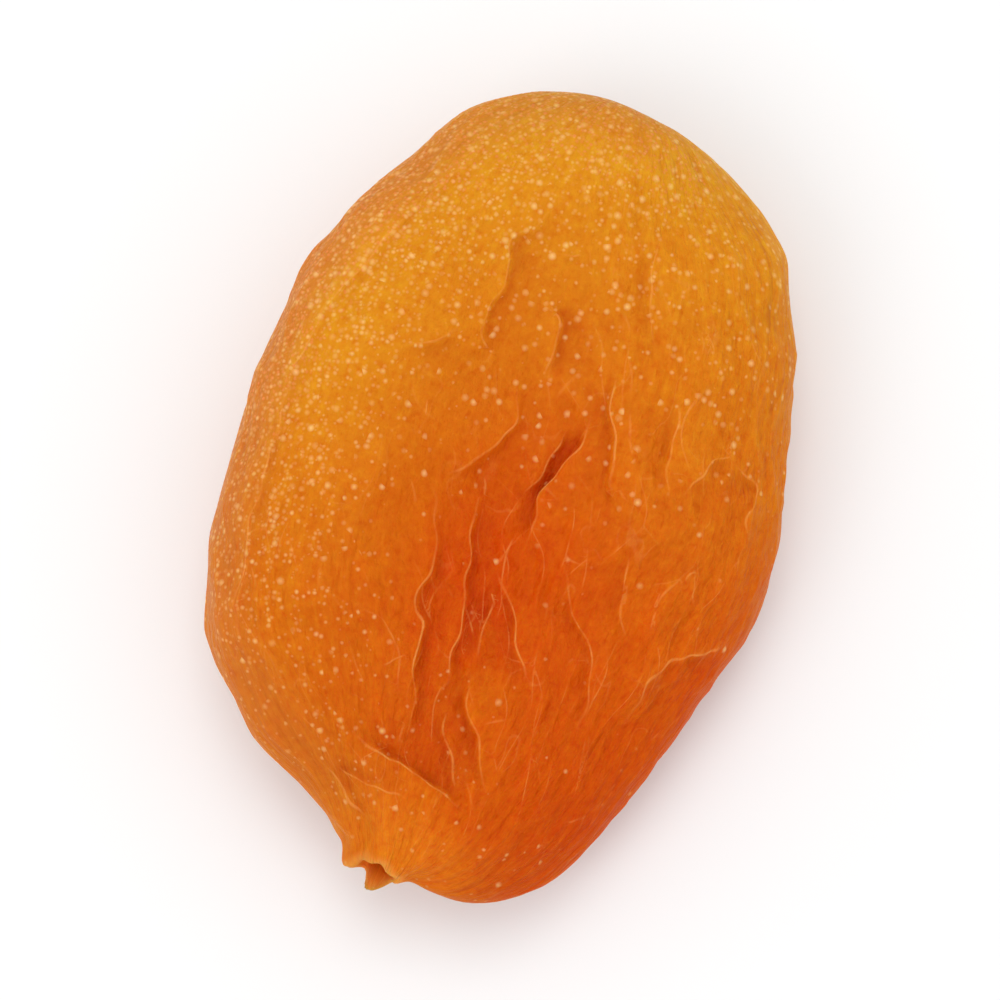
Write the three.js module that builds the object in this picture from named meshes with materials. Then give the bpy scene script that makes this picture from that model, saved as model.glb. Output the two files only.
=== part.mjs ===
// A dried apricot, whole and without its stone, lying on its broad side.
// Millimetres, +Z up, +Y towards the crown. The origin is the middle of the footprint, on the ground.
//
// The fruit is one solid. A sphere of triangles is pushed out to a flat, egg-shaped body, which then
// gets its sunken middle, the folds of its skin, the wrinkles that run along the faces and round the
// edge, and the torn mouth that the stem left at the lower end. Last, the underside is pressed flat
// where the fruit rests.

import * as THREE from 'three';
import { mergeVertices } from 'three/addons/utils/BufferGeometryUtils.js';

const { degToRad, smoothstep, clamp, euclideanModulo } = THREE.MathUtils;

// ---------------------------------------------------------------- driving dimensions

const LENGTH = 42;
const WIDTH = 28.2;
const MIDDLE = 5; // height of the widest line
const ABOVE = 5.9; // from the widest line to the top, before the middle sinks
const BELOW = 0.1; // how far the underside would reach into the ground if it were not pressed flat
const SLOPE = { middleX: -0.05, middleY: 0.01, middleTwist: 0.0009, aboveX: -0.055, aboveY: 0.02 };

const FULL_ABOVE = 2.75; // fullness of the section: 2 is an ellipse, 4 is nearly a box
const FULL_BELOW = 2.7;
const STEEPER = 0.9; // added to the fullness above, on the side that stands steep
const STEEP_SIDE = degToRad(165);

const DETAIL = 23; // the sphere has 20 * (DETAIL + 1) ** 2 triangles
const FOLD_EDGE = 0.34; // width over which the edge of a fold drops

// Outline seen from above, anticlockwise from the right.
const RIM = [
	[13.8, 0.6], [13.2, 4.1], [12.6, 7.9], [11.9, 11.6], [10.6, 15.1], [8.3, 17.7], [5.3, 19.3],
	[1.9, 20.6], [-1.4, 21], [-4.9, 20.1], [-7.7, 18], [-9.7, 14.6], [-12, 10.6], [-13.5, 6.4],
	[-13.9, 1.6], [-13.8, -3.1], [-13.3, -8], [-11.7, -12.3], [-9, -15.1], [-5.9, -17],
	[-3.1, -18.9], [0.2, -19.9], [3.1, -20.6], [6, -19.2], [8.4, -16.5], [10.5, -12],
	[12.5, -6.5], [13.6, -2.1],
];

// Broad hollows (height below zero) and swells: middle, half sizes, turn in degrees, height.
const TOP_LUMPS = {
	mainHollow: { at: [0.7, -2.2], half: [6.6, 13.5], turn: 4, height: -2 },
	slitHollow: { at: [1.4, 1], half: [3.4, 5], turn: -14, height: -0.35 },
	leftLobe: { at: [-7, -5.6], half: [4.2, 8.5], turn: 8, height: 0.45 },
	upperLeft: { at: [-6.4, 9], half: [4.4, 5.2], turn: -20, height: 0.3 },
	rightSwell: { at: [8.2, 6.4], half: [3.8, 7], turn: 8, height: 0.3 },
	lowRightHollow: { at: [8.2, -10.6], half: [3, 4.5], turn: -25, height: -0.4 },
	endSwell: { at: [3.6, -17], half: [5, 2.6], turn: 15, height: 0.45 },
	besideMouth: { at: [-7, -15.6], half: [4.5, 2.6], turn: -35, height: -0.7 },
	yellowBump: { at: [8.5, -4], half: [0.6, 2], turn: -8, height: 0.3 },
};
const UNDER_LUMPS = {
	crownHollow: { at: [0.2, 12], half: [4, 5], turn: 0, height: 0.9 },
	stemHollow: { at: [0, -11.8], half: [3.8, 5], turn: 0, height: 0.9 },
	leftHollow: { at: [-7.6, 0.8], half: [2.8, 6], turn: 0, height: 0.8 },
	rightHollow: { at: [7.8, 0.6], half: [2.8, 7], turn: 0, height: 0.8 },
};

// Folds of the skin. Going along a path, the skin on its left stands up by `rise` and the skin on its
// right lies lower by `drop`, each fading over its own reach. `lean` draws the edge over to the right.
const TOP_FOLDS = {
	leftLobeEdge: {
		path: [
			[-1.7, -14.5], [-1.5, -12.4], [-2.4, -9.6], [-2.6, -7.7], [-3.2, -6.8], [-3, -5.1],
			[-3.1, -2.7], [-3.9, -0.3],
		],
		rise: 0.17, drop: 0.22, reach: [1.5, 1.4], lean: 0.2,
	},
	midRidge: {
		path: [[0.1, -10.7], [-0.3, -9.4], [-0.5, -7.9], [-0.7, -5.8], [-1.4, -3.3], [-1.6, -1.1], [-1.9, 0.4]],
		rise: 0.13, drop: 0.2, reach: [0.9, 1.2], lean: 0.15,
	},
	innerRidge: {
		path: [[0.3, -3.8], [1.4, -5], [2.1, -6.4], [2.8, -8], [3.1, -9.1]],
		rise: 0.13, drop: 0.18, reach: [0.9, 0.8], lean: 0.1,
	},
	innerSmall: {
		path: [[0.7, -5.4], [0.7, -7.1], [0.9, -8.6]],
		rise: 0.1, drop: 0.14, reach: [0.6, 0.6], lean: 0.1,
	},
	innerLow: {
		path: [[0.3, -9.2], [1, -10.7], [1.8, -12.3], [2.3, -13.9], [3.2, -15.3]],
		rise: 0.16, drop: 0.24, reach: [0.8, 0.9], lean: 0.15,
	},
	valleyEnd: {
		path: [[0, -11.2], [0.3, -12.6], [1, -14.2], [1.6, -15.4]],
		rise: 0.1, drop: 0.14, reach: [0.6, 0.7], lean: 0.05,
	},
	upperLedge: {
		path: [
			[-3.1, 5.4], [-3, 6.7], [-3.7, 7.7], [-3.6, 9.1], [-3.4, 11], [-3.7, 12.5], [-2.5, 13.7],
			[-1.2, 15.8],
		],
		rise: 0.1, drop: 0.18, reach: [1.2, 2], lean: 0.1,
	},
	shortFold: {
		path: [[-7.4, 5.3], [-6.2, 6.2], [-5.6, 6.8], [-4.6, 7.5]],
		rise: 0.1, drop: 0.14, reach: [0.8, 1.2], lean: 0.1,
	},
	slit: {
		path: [[2.8, 5.4], [3, 3.9], [2.7, 2.9], [2.2, 1.9], [1.7, 0.5], [1.7, -1], [1.2, -2]],
		rise: 0.24, drop: 0.42, reach: [0.9, 0.6], lean: 0.3,
	},
	slitBack: {
		path: [[0.7, 0], [1.1, 1.4], [1.6, 2.8], [2.2, 4.4]],
		rise: 0.1, drop: 0.22, reach: [0.8, 0.6], lean: 0.1,
	},
	paleRidge: {
		path: [[-3.3, -0.1], [-2.6, 0.8], [-1.9, 1.7], [-1.2, 2.8], [-1, 4.3], [-1.4, 6.2]],
		rise: 0.2, drop: 0.18, reach: [0.6, 0.8], lean: 0.1,
	},
	upperFold: {
		path: [[0.1, 6.2], [-0.1, 7.7], [-0.2, 9.2], [-0.8, 10.4]],
		rise: 0.11, drop: 0.2, reach: [0.7, 1], lean: 0.1,
	},
	rightFold: {
		path: [[3.4, 7.4], [3.6, 6.4], [4.2, 4.7], [4.7, 2.6], [5.4, 1.1]],
		rise: 0.15, drop: 0.2, reach: [0.8, 0.9], lean: 0.12,
	},
	rightFar: {
		path: [[6.8, 7], [6.9, 5.8], [7.1, 3.8], [7.6, 1.6]],
		rise: 0.1, drop: 0.14, reach: [0.8, 0.8], lean: 0.05,
	},
	rightLine: {
		path: [[6.5, -1.2], [6.7, -2.6], [7.2, -4], [7.6, -5.6]],
		rise: 0.1, drop: 0.14, reach: [0.7, 0.7], lean: 0.05,
	},
	rightFoldUpper: {
		path: [[3.2, 15], [3.8, 12.2], [5.2, 9]],
		rise: 0.12, drop: 0.12, reach: [0.9, 0.9], lean: 0,
	},
	hook: {
		path: [[8.4, 2.2], [9, 3.3], [9.6, 4.4], [10.8, 5.4]],
		rise: 0.16, drop: 0.14, reach: [0.7, 0.8], lean: 0.1,
	},
	hookEnd: {
		path: [[10.6, 4.8], [11.4, 4.4], [12.1, 4], [12, 2.8], [12.5, 1]],
		rise: 0.16, drop: 0.14, reach: [0.7, 0.8], lean: 0.1,
	},
	edgeFold: {
		path: [[9, -9.8], [9.5, -8.3], [9.7, -7.1], [10.4, -5.9], [11.7, -4.9], [12.4, -4.2], [13.2, -3]],
		rise: 0.15, drop: 0.18, reach: [0.8, 0.8], lean: 0.1,
	},
	rightCentre: {
		path: [[3.2, -2.4], [4.2, -4.2], [4.8, -5], [5.9, -6], [6.5, -7.5], [6.8, -8.9], [6.5, -11]],
		rise: 0.14, drop: 0.16, reach: [0.9, 0.8], lean: 0.12,
	},
	mouthFold: {
		path: [[2.4, -16], [1.2, -15.8], [0, -15.5], [-1.3, -14.8], [-3, -14.4], [-4.4, -14]],
		rise: 0.3, drop: 0.2, reach: [1.1, 0.8], lean: 0.25,
	},
	mouthFoldLeft: {
		path: [[-2, -17.9], [-3.5, -17.5], [-4.3, -16.7], [-5.4, -15.6]],
		rise: 0.18, drop: 0.14, reach: [0.7, 0.7], lean: 0.1,
	},
	mouthFoldMid: {
		path: [[-0.2, -16.4], [-2, -16.2], [-3.7, -16.1], [-4.9, -15.7]],
		rise: 0.14, drop: 0.12, reach: [0.6, 0.6], lean: 0.1,
	},
	shoulder: {
		path: [
			[-7.2, -15.4], [-9.6, -12.9], [-10.9, -10.6], [-11.6, -8], [-12, -5.4], [-12.4, -1],
			[-12.5, 2], [-12.2, 4.3], [-11.4, 7.3], [-10.1, 9.9], [-9.2, 11.7], [-7.7, 14.6],
			[-5.6, 17.2], [-3, 18.8],
		],
		rise: 0.12, drop: 0.1, reach: [1, 1.1], lean: 0,
	},
};
const UNDER_FOLDS = {
	crownFold: {
		path: [[1.5, 17], [-0.5, 13], [0.6, 9.5], [-0.4, 6]],
		rise: 0.2, drop: 0.8, reach: [1, 1.4], lean: 0.3,
	},
	stemFold: {
		path: [[0.8, -5.8], [-0.6, -9], [0.5, -12.5], [-1, -16]],
		rise: 0.2, drop: 0.8, reach: [1, 1.4], lean: 0.3,
	},
	leftFold: {
		path: [[-6.6, -3.6], [-6.2, 0.6], [-7.6, 4.2], [-10.6, 6]],
		rise: 0.2, drop: 0.6, reach: [0.8, 1.3], lean: 0.2,
	},
	rightFold: {
		path: [[9.8, 8.6], [7.6, 5.2], [6.8, 1], [7.4, -3.4], [6.2, -7.6]],
		rise: 0.2, drop: 0.7, reach: [0.8, 1.4], lean: 0.2,
	},
	lowLeftFold: {
		path: [[-8.6, -11.8], [-5.6, -9.6], [-3.4, -10.6]],
		rise: 0.1, drop: 0.4, reach: [0.8, 1], lean: 0,
	},
	upLeftFold: {
		path: [[-6.8, 13.8], [-4.6, 10.4], [-4.2, 7.2]],
		rise: 0.1, drop: 0.45, reach: [0.8, 1], lean: 0,
	},
	lowRightFold: {
		path: [[9.4, -9.6], [6, -12.4], [4.2, -15.4]],
		rise: 0.1, drop: 0.4, reach: [0.8, 1], lean: 0,
	},
};

const SWELL = { height: 0.22, length: 12, down: 1.5 };
const WANDER = { height: 0.2, length: 4.5 }; // how far a fold strays from its path
const HALF_FLAT = 12; // half of the section's flat width
const HALF_TALL = 7; // the section's height above its rim
const SECTION = 4 * ( HALF_FLAT + HALF_TALL );

// Wrinkles are the lines of nets with long cells, which run from the crown to the stem end like
// meridians. `cell` is the width and length of a cell, and `pull` how far the net is pulled about.
const NETS = {
	broad: { height: 0.24, flank: 0.75, cell: [3.1, 11], pull: [0.55, 1.6], seed: 1 },
	close: { height: 0.16, flank: 0.5, cell: [1.9, 6], pull: [0.4, 1.2], seed: 2 },
};
const JITTER = 0.84; // how far a cell's middle may lie off its place in the grid
const CREST_ROUND = 0.25; // radius that rounds a wrinkle's crest
const TWIST = 0.28; // how far the wrinkles on the broad sides slant, to the crown end's left
const EDGE_SHARE = 0.55; // share of a wrinkle's height left at the rim
const CALM = 0.75; // share of its wrinkles that the tight skin on the upper left loses

// The spot without wrinkles that the fruit rests on.
const REST = { at: [-0.5, 0.5], half: [4.6, 6.2], depth: 0.4 };

// The mouth: a ring of torn skin round a recess, at the lower end. Flaps stand out of the ring: the
// tongue is the one that hangs out lowest.
const MOUTH = {
	at: new THREE.Vector3( - 1, - 19.6, 6.4 ),
	out: new THREE.Vector3( - 0.22, - 0.86, 0.46 ).normalize(),
	radius: 1.15,
	lipWidth: 0.52,
	lipHeight: 0.5,
	ragged: { share: 0.22, length: 1.6 },
	pitDepth: 1.4,
	neck: { height: 0.5, width: 2.4 },
	flaps: {
		tongue: { turn: degToRad( - 62 ), height: 1.15, width: 0.6 },
		cheek: { turn: degToRad( - 168 ), height: 0.8, width: 0.8 },
	},
	pleats: { count: 7, height: 0.16, radius: 2.5, width: 1.2 },
	reach: 3, // how far behind its middle the mouth shapes the skin
};

// ---------------------------------------------------------------- small tools

// Sum of plane waves, each shorter and lower than the last, in directions turned by the golden angle.
const GOLDEN_ANGLE = 2.399963;
const GOLDEN_SHARE = 0.618034;
function waves( p, longest, count, seed, shrink = 0.62 ) {

	let sum = 0;
	let total = 0;
	for ( let i = 0; i < count; i ++ ) {

		const turn = GOLDEN_ANGLE * ( i + 1 ) + 1.7 * seed;
		const rise = ( ( i * GOLDEN_SHARE + 0.37 * seed ) % 1 ) * 1.6 - 0.8;
		const flat = Math.sqrt( 1 - rise * rise );
		const amplitude = shrink ** ( 0.9 * i );
		const along = flat * ( p.x * Math.cos( turn ) + p.y * Math.sin( turn ) ) + p.z * rise;
		sum += amplitude * Math.sin( 2 * Math.PI * along / ( longest * shrink ** i ) + 1.7 * i + 3.1 * seed );
		total += amplitude;

	}

	return sum / ( 0.65 * total );

}

function bell( x ) {

	return Math.exp( - x * x );

}

// ---------------------------------------------------------------- outline

// The rim's points as shares of the plain ellipse, by angle, joined by a smooth closed curve.
const rim = RIM
	.map( ( [ x, y ] ) => {

		const across = x / ( WIDTH / 2 );
		const up = y / ( LENGTH / 2 );
		const angle = euclideanModulo( Math.atan2( up, across ), 2 * Math.PI );
		return { angle, share: Math.hypot( across, up ) };

	} )
	.sort( ( a, b ) => a.angle - b.angle );

function rimPoint( i ) {

	const round = Math.floor( i / rim.length );
	const point = rim[ i - round * rim.length ];
	return { angle: point.angle + round * 2 * Math.PI, share: point.share };

}

function rimSlope( i ) {

	const before = rimPoint( i - 1 );
	const after = rimPoint( i + 1 );
	return ( after.share - before.share ) / ( after.angle - before.angle );

}

function outline( theta ) {

	const angle = euclideanModulo( theta, 2 * Math.PI );
	const next = rim.findIndex( ( point ) => point.angle > angle );
	const i = ( next === - 1 ? rim.length : next ) - 1;
	const a = rimPoint( i );
	const b = rimPoint( i + 1 );
	const span = b.angle - a.angle;
	const u = ( angle - a.angle ) / span;
	return ( 1 + 2 * u ) * ( 1 - u ) ** 2 * a.share + u * ( 1 - u ) ** 2 * span * rimSlope( i )
		+ u * u * ( 3 - 2 * u ) * b.share + u * u * ( u - 1 ) * span * rimSlope( i + 1 );

}

// ---------------------------------------------------------------- lumps and folds

function lumps( table, x, y ) {

	let height = 0;
	for ( const lump of Object.values( table ) ) {

		const turn = degToRad( lump.turn );
		const dx = x - lump.at[ 0 ];
		const dy = y - lump.at[ 1 ];
		const u = ( dx * Math.cos( turn ) + dy * Math.sin( turn ) ) / lump.half[ 0 ];
		const v = ( dy * Math.cos( turn ) - dx * Math.sin( turn ) ) / lump.half[ 1 ];
		height += lump.height * Math.exp( - u * u - v * v );

	}

	return height;

}

const STEPS = 5; // straight pieces between two points of a path
function smoothPath( points ) {

	const places = points.map( ( [ x, y ] ) => new THREE.Vector3( x, y, 0 ) );
	const curve = new THREE.CatmullRomCurve3( places, false, 'catmullrom', 0.5 );
	return curve.getPoints( STEPS * ( points.length - 1 ) );

}

// How the drawn paths of the top's folds are laid on the fruit.
const PLAN = { scale: 0.962, x: 0.17, y: - 0.62 };
for ( const fold of Object.values( TOP_FOLDS ) ) {

	fold.path = fold.path.map( ( [ x, y ] ) => [ PLAN.scale * x + PLAN.x, PLAN.scale * y + PLAN.y ] );

}

for ( const fold of [ ...Object.values( TOP_FOLDS ), ...Object.values( UNDER_FOLDS ) ] ) {

	fold.line = smoothPath( fold.path );
	const first = fold.path[ 0 ];
	const last = fold.path[ fold.path.length - 1 ];
	fold.right = new THREE.Vector2( last[ 1 ] - first[ 1 ], first[ 0 ] - last[ 0 ] ).normalize();

}

// How far a point lies to the right of a line, and its share of the way along.
function besideLine( line, x, y ) {

	let best = { distance: Infinity, side: 0, share: 0 };
	for ( let i = 0; i < line.length - 1; i ++ ) {

		const sx = line[ i + 1 ].x - line[ i ].x;
		const sy = line[ i + 1 ].y - line[ i ].y;
		const px = x - line[ i ].x;
		const py = y - line[ i ].y;
		const t = clamp( ( px * sx + py * sy ) / ( sx * sx + sy * sy ), 0, 1 );
		const distance = Math.hypot( px - t * sx, py - t * sy );
		if ( distance < best.distance ) {

			const side = Math.sign( sy * px - sx * py ) * distance;
			best = { distance, side, share: ( i + t ) / ( line.length - 1 ) };

		}

	}

	return best;

}

const FOLD_ENDS = 0.3; // share of a fold over which it fades in and out
const LEAN_BACK = 0.3; // the leaning skin is this far back from the edge
const LEAN_WIDTH = 0.6;
function folds( table, x, y ) {

	const shift = { x: 0, y: 0, z: 0 };
	for ( const fold of Object.values( table ) ) {

		const { side, share } = besideLine( fold.line, x, y );
		const ends = smoothstep( share, 0, FOLD_ENDS ) * smoothstep( 1 - share, 0, FOLD_ENDS );
		const over = 1 / ( 1 + Math.exp( - 2 * side / FOLD_EDGE ) );
		const left = fold.rise * Math.exp( Math.min( side, 0 ) / fold.reach[ 0 ] );
		const right = fold.drop * Math.exp( - Math.max( side, 0 ) / fold.reach[ 1 ] );
		shift.z += ends * ( ( 1 - over ) * left - over * right );
		const lean = ends * fold.lean * bell( ( side + LEAN_BACK ) / LEAN_WIDTH );
		shift.x += fold.right.x * lean;
		shift.y += fold.right.y * lean;

	}

	return shift;

}

// ---------------------------------------------------------------- body

// The smooth body: the place that a direction of the sphere goes to, and the way out of the skin.
function body( direction ) {

	const theta = Math.atan2( direction.y, direction.x );
	const up = direction.z;
	const out = Math.sqrt( Math.max( 0, 1 - up * up ) );
	const steep = 0.5 + 0.5 * Math.cos( theta - STEEP_SIDE );
	const full = up > 0 ? FULL_ABOVE + STEEPER * steep : FULL_BELOW;
	const scale = ( out ** full + Math.abs( up ) ** full ) ** ( - 1 / full );
	const rho = out * scale;
	const zeta = up * scale;
	const radius = outline( theta ) * rho;
	const x = WIDTH / 2 * radius * Math.cos( theta );
	const y = LENGTH / 2 * radius * Math.sin( theta );
	const middle = MIDDLE + SLOPE.middleX * x + SLOPE.middleY * y + SLOPE.middleTwist * x * y;
	const reach = zeta > 0 ? ABOVE + SLOPE.aboveX * x + SLOPE.aboveY * y : middle + BELOW;
	const girth = Math.hypot( WIDTH / 2 * Math.cos( theta ), LENGTH / 2 * Math.sin( theta ) );
	const sideways = rho ** ( full - 1 ) / girth;
	const normal = new THREE.Vector3(
		sideways * Math.cos( theta ) * Math.sqrt( LENGTH / WIDTH ),
		sideways * Math.sin( theta ) * Math.sqrt( WIDTH / LENGTH ),
		Math.sign( zeta ) * Math.abs( zeta ) ** ( full - 1 ) / reach,
	).normalize();
	const point = new THREE.Vector3( x, y, middle + reach * zeta );
	return { point, normal, rho, zeta, steep, ...roundSection( theta, rho, zeta, full ) };

}

// The way round the section from the middle of the top, and the section's share of the widest one.
function roundSection( theta, rho, zeta, full ) {

	const y = rho * Math.sin( theta );
	const girth = Math.sqrt( Math.max( 1 - y * y, 1e-6 ) );
	const x = rho * Math.cos( theta ) / girth;
	const tall = Math.abs( zeta ) / Math.max( 1 - Math.abs( y ) ** full, 1e-6 ) ** ( 1 / full );
	const quarter = HALF_FLAT * Math.min( Math.abs( x ), 1 ) + HALF_TALL * ( 1 - Math.min( tall, 1 ) );
	const half = zeta > 0 ? quarter : SECTION / 2 - quarter;
	return { around: x < 0 ? - half : half, girth };

}

// ---------------------------------------------------------------- wrinkles

// A number from 0 to 1 for each cell of a grid.
function scatter( i, j, seed ) {

	return euclideanModulo( Math.sin( 127.1 * i + 311.7 * j + 74.7 * seed ) * 43758.5453, 1 );

}

// Distance from a point to the nearest line of a net, which closes round the section.
function netLine( point, around, { cell, pull, seed } ) {

	const columns = Math.round( SECTION / cell[ 0 ] );
	const width = SECTION / columns;
	const length = cell[ 1 ];
	const slant = TWIST * point.y * Math.cos( 2 * Math.PI * around / SECTION );
	const across = ( around + slant + pull[ 0 ] * waves( point, 8, 3, seed + 0.4 ) ) / width;
	const along = ( point.y + pull[ 1 ] * waves( point, 9, 3, seed + 3.3 ) ) / length;

	const middleOf = ( column, row ) => {

		const wrapped = euclideanModulo( column, columns );
		return {
			x: column + 0.5 + JITTER * ( scatter( wrapped, row, seed ) - 0.5 ),
			y: row + 0.5 + JITTER * ( scatter( wrapped, row, seed + 0.5 ) - 0.5 ),
			column, row,
		};

	};

	let own;
	let nearest = Infinity;
	for ( let i = - 1; i <= 1; i ++ ) {

		for ( let j = - 1; j <= 1; j ++ ) {

			const middle = middleOf( Math.floor( across ) + i, Math.floor( along ) + j );
			const distance = Math.hypot( across - middle.x, along - middle.y );
			if ( distance < nearest ) {

				nearest = distance;
				own = middle;

			}

		}

	}

	let line = Infinity;
	for ( let i = - 2; i <= 2; i ++ ) {

		for ( let j = - 2; j <= 2; j ++ ) {

			if ( i === 0 && j === 0 ) continue;
			const other = middleOf( own.column + i, own.row + j );
			const toX = other.x - own.x;
			const toY = other.y - own.y;
			const ahead = toX * ( ( own.x + other.x ) / 2 - across ) + toY * ( ( own.y + other.y ) / 2 - along );
			line = Math.min( line, ahead / Math.hypot( toX / width, toY / length ) );

		}

	}

	return line;

}

// A ridge that is steep near its crest and runs out to the sides.
function crest( distance, flank ) {

	return Math.exp( ( CREST_ROUND - Math.hypot( distance, CREST_ROUND ) ) / flank );

}

// Height of the swells and wrinkles over the smooth body.
function relief( { point, rho, zeta, steep, around, girth } ) {

	const wide = waves( point, 11, 4, 2.3 );
	const narrow = waves( point, 6.5, 4, 5.7 );
	const here = smoothstep( narrow, - 0.7, 0.6 );
	const there = smoothstep( - wide - 0.4 * narrow, - 0.6, 0.6 );
	const inside = 1 - smoothstep( rho, 0.8, 0.99 );
	const tight = smoothstep( steep, 0, 0.8 ) * smoothstep( point.y, - 9, 2 ) * inside;
	const calm = zeta > - 0.2 ? 1 - CALM * tight : 1;
	const fade = smoothstep( girth, 0.1, 0.6 ) * ( 1 - ( 1 - EDGE_SHARE ) * smoothstep( rho, 0.8, 0.97 ) );
	const wrinkle = ( net ) => net.height * crest( netLine( point, around, net ), net.flank );
	const stretched = new THREE.Vector3( point.x, point.y, point.z * SWELL.down );
	const swell = SWELL.height * waves( stretched, SWELL.length, 4, 0.7, 0.7 );
	return swell + calm * fade * ( here * wrinkle( NETS.broad ) + there * wrinkle( NETS.close ) );

}

// ---------------------------------------------------------------- mouth

const mouthSide = new THREE.Vector3( - MOUTH.out.y, MOUTH.out.x, 0 ).normalize();
const mouthRise = new THREE.Vector3().crossVectors( MOUTH.out, mouthSide );

// How far the skin at a point of the smooth body moves along the mouth's own direction.
function mouthPush( point ) {

	const from = point.clone().sub( MOUTH.at );
	const u = from.dot( mouthSide );
	const v = from.dot( mouthRise );
	const front = smoothstep( from.dot( MOUTH.out ), - MOUTH.reach, - 0.5 );
	const angle = Math.atan2( v, u );
	const distance = Math.hypot( u, v );
	const radius = MOUTH.radius * ( 1 + 0.16 * Math.sin( 2 * angle + 0.6 ) + 0.12 * Math.sin( 3 * angle + 2 ) );
	let lipHeight = MOUTH.lipHeight;
	for ( const { turn, height, width } of Object.values( MOUTH.flaps ) ) {

		lipHeight += height * bell( ( Math.acos( Math.cos( angle - turn ) ) / width ) ** 2 );

	}

	lipHeight *= 1 + MOUTH.ragged.share * waves( point, MOUTH.ragged.length, 3, 4.1 );
	const lip = lipHeight * bell( ( distance - radius ) / MOUTH.lipWidth );
	const pit = MOUTH.pitDepth * Math.exp( - ( ( distance / ( 0.62 * radius ) ) ** 4 ) );
	const neck = MOUTH.neck.height * bell( distance / MOUTH.neck.width );
	const round = Math.cos( MOUTH.pleats.count * angle + 1.1 * Math.sin( distance ) );
	const pleats = MOUTH.pleats.height * round * bell( ( distance - MOUTH.pleats.radius ) / MOUTH.pleats.width );
	return front * ( lip - pit + neck + pleats );

}

// ---------------------------------------------------------------- skin

// Draws directions of the sphere towards one of them, so that the triangles are smaller there.
function gather( direction, centre, strength, width ) {

	const angle = direction.angleTo( centre );
	return direction.addScaledVector( centre, strength * bell( angle / width ) ).normalize();

}

const GATHERS = [
	{ centre: new THREE.Vector3( 0, 0, 1 ), strength: 0.55, width: 1.2 },
	{ centre: new THREE.Vector3( - 0.07, - 0.95, 0.3 ).normalize(), strength: 2.2, width: 0.2 },
];

function skinPoint( direction ) {

	for ( const { centre, strength, width } of GATHERS ) gather( direction, centre, strength, width );

	const smooth = body( direction );
	const { point, normal, zeta } = smooth;
	const onTop = smoothstep( zeta, 0.15, 0.75 );
	const onUnder = smoothstep( - zeta, 0.15, 0.75 );
	const wanderX = WANDER.height * waves( point, WANDER.length, 4, 0.3 );
	const wanderY = WANDER.height * waves( point, WANDER.length, 4, 1.9 );
	const top = folds( TOP_FOLDS, point.x + wanderX, point.y + wanderY );
	const under = folds( UNDER_FOLDS, point.x + wanderX, point.y + wanderY );

	const skin = point.clone();
	skin.x += onTop * top.x + onUnder * under.x;
	skin.y += onTop * top.y + onUnder * under.y;
	skin.z += onTop * lumps( TOP_LUMPS, point.x, point.y ) + smoothstep( zeta, 0.05, 0.4 ) * top.z;
	skin.z += onUnder * ( lumps( UNDER_LUMPS, point.x, point.y ) - under.z );
	const restX = ( point.x - REST.at[ 0 ] ) / REST.half[ 0 ];
	const restY = ( point.y - REST.at[ 1 ] ) / REST.half[ 1 ];
	const resting = onUnder * bell( restX ** 2 + restY ** 2 );
	skin.addScaledVector( normal, ( 1 - resting ) * relief( smooth ) + resting * REST.depth );
	skin.addScaledVector( MOUTH.out, mouthPush( point ) );
	skin.z = Math.max( skin.z, 0 );
	return skin;

}

function apricotGeometry() {

	const sphere = new THREE.IcosahedronGeometry( 1, DETAIL );
	sphere.deleteAttribute( 'normal' );
	sphere.deleteAttribute( 'uv' );
	const geometry = mergeVertices( sphere );
	const positions = geometry.getAttribute( 'position' );
	const direction = new THREE.Vector3();
	for ( let i = 0; i < positions.count; i ++ ) {

		direction.fromBufferAttribute( positions, i ).normalize();
		const skin = skinPoint( direction );
		positions.setXYZ( i, skin.x, skin.y, skin.z );

	}

	geometry.computeBoundingBox();
	const middle = geometry.boundingBox.getCenter( new THREE.Vector3() );
	geometry.translate( - middle.x, - middle.y, 0 );
	geometry.computeVertexNormals();
	return geometry;

}

// ---------------------------------------------------------------- the part

const skinMaterial = new THREE.MeshStandardMaterial( { color: 0xdb7a1c, roughness: 0.45, metalness: 0 } );

const apricot = new THREE.Mesh( apricotGeometry(), skinMaterial );
apricot.name = 'apricot';

const group = new THREE.Group();
group.add( apricot );

export default group;
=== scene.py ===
"""A dried apricot: the looks of the fruit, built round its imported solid."""

import math

import bmesh
import bpy
import numpy as np
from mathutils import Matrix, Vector


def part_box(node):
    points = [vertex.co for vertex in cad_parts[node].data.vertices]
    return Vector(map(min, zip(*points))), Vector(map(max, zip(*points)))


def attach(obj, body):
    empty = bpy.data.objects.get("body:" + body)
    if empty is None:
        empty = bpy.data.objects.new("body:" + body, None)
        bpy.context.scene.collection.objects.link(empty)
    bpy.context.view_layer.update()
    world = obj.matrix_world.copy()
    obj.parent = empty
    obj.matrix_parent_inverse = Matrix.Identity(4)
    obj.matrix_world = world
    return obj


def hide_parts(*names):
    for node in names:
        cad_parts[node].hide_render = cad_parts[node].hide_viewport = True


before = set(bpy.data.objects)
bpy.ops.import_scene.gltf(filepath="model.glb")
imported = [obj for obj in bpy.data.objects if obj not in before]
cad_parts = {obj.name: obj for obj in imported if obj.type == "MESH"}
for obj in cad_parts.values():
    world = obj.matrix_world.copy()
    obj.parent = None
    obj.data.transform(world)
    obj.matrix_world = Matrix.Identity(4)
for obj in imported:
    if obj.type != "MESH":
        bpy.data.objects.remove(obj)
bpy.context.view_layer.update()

bl_info = {
    "name": "Dried Apricot",
    "version": (1, 0, 0),
    "blender": (4, 5, 0),
    "location": "3D View > Sidebar > Apricot",
    "description": "Models and shades a dried apricot round its solid",
    "category": "Add Mesh",
}

MM = 0.001
NODE = "apricot"
PIECE = "apricot_fruit"
SLOT = "apricot_skin"

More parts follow.
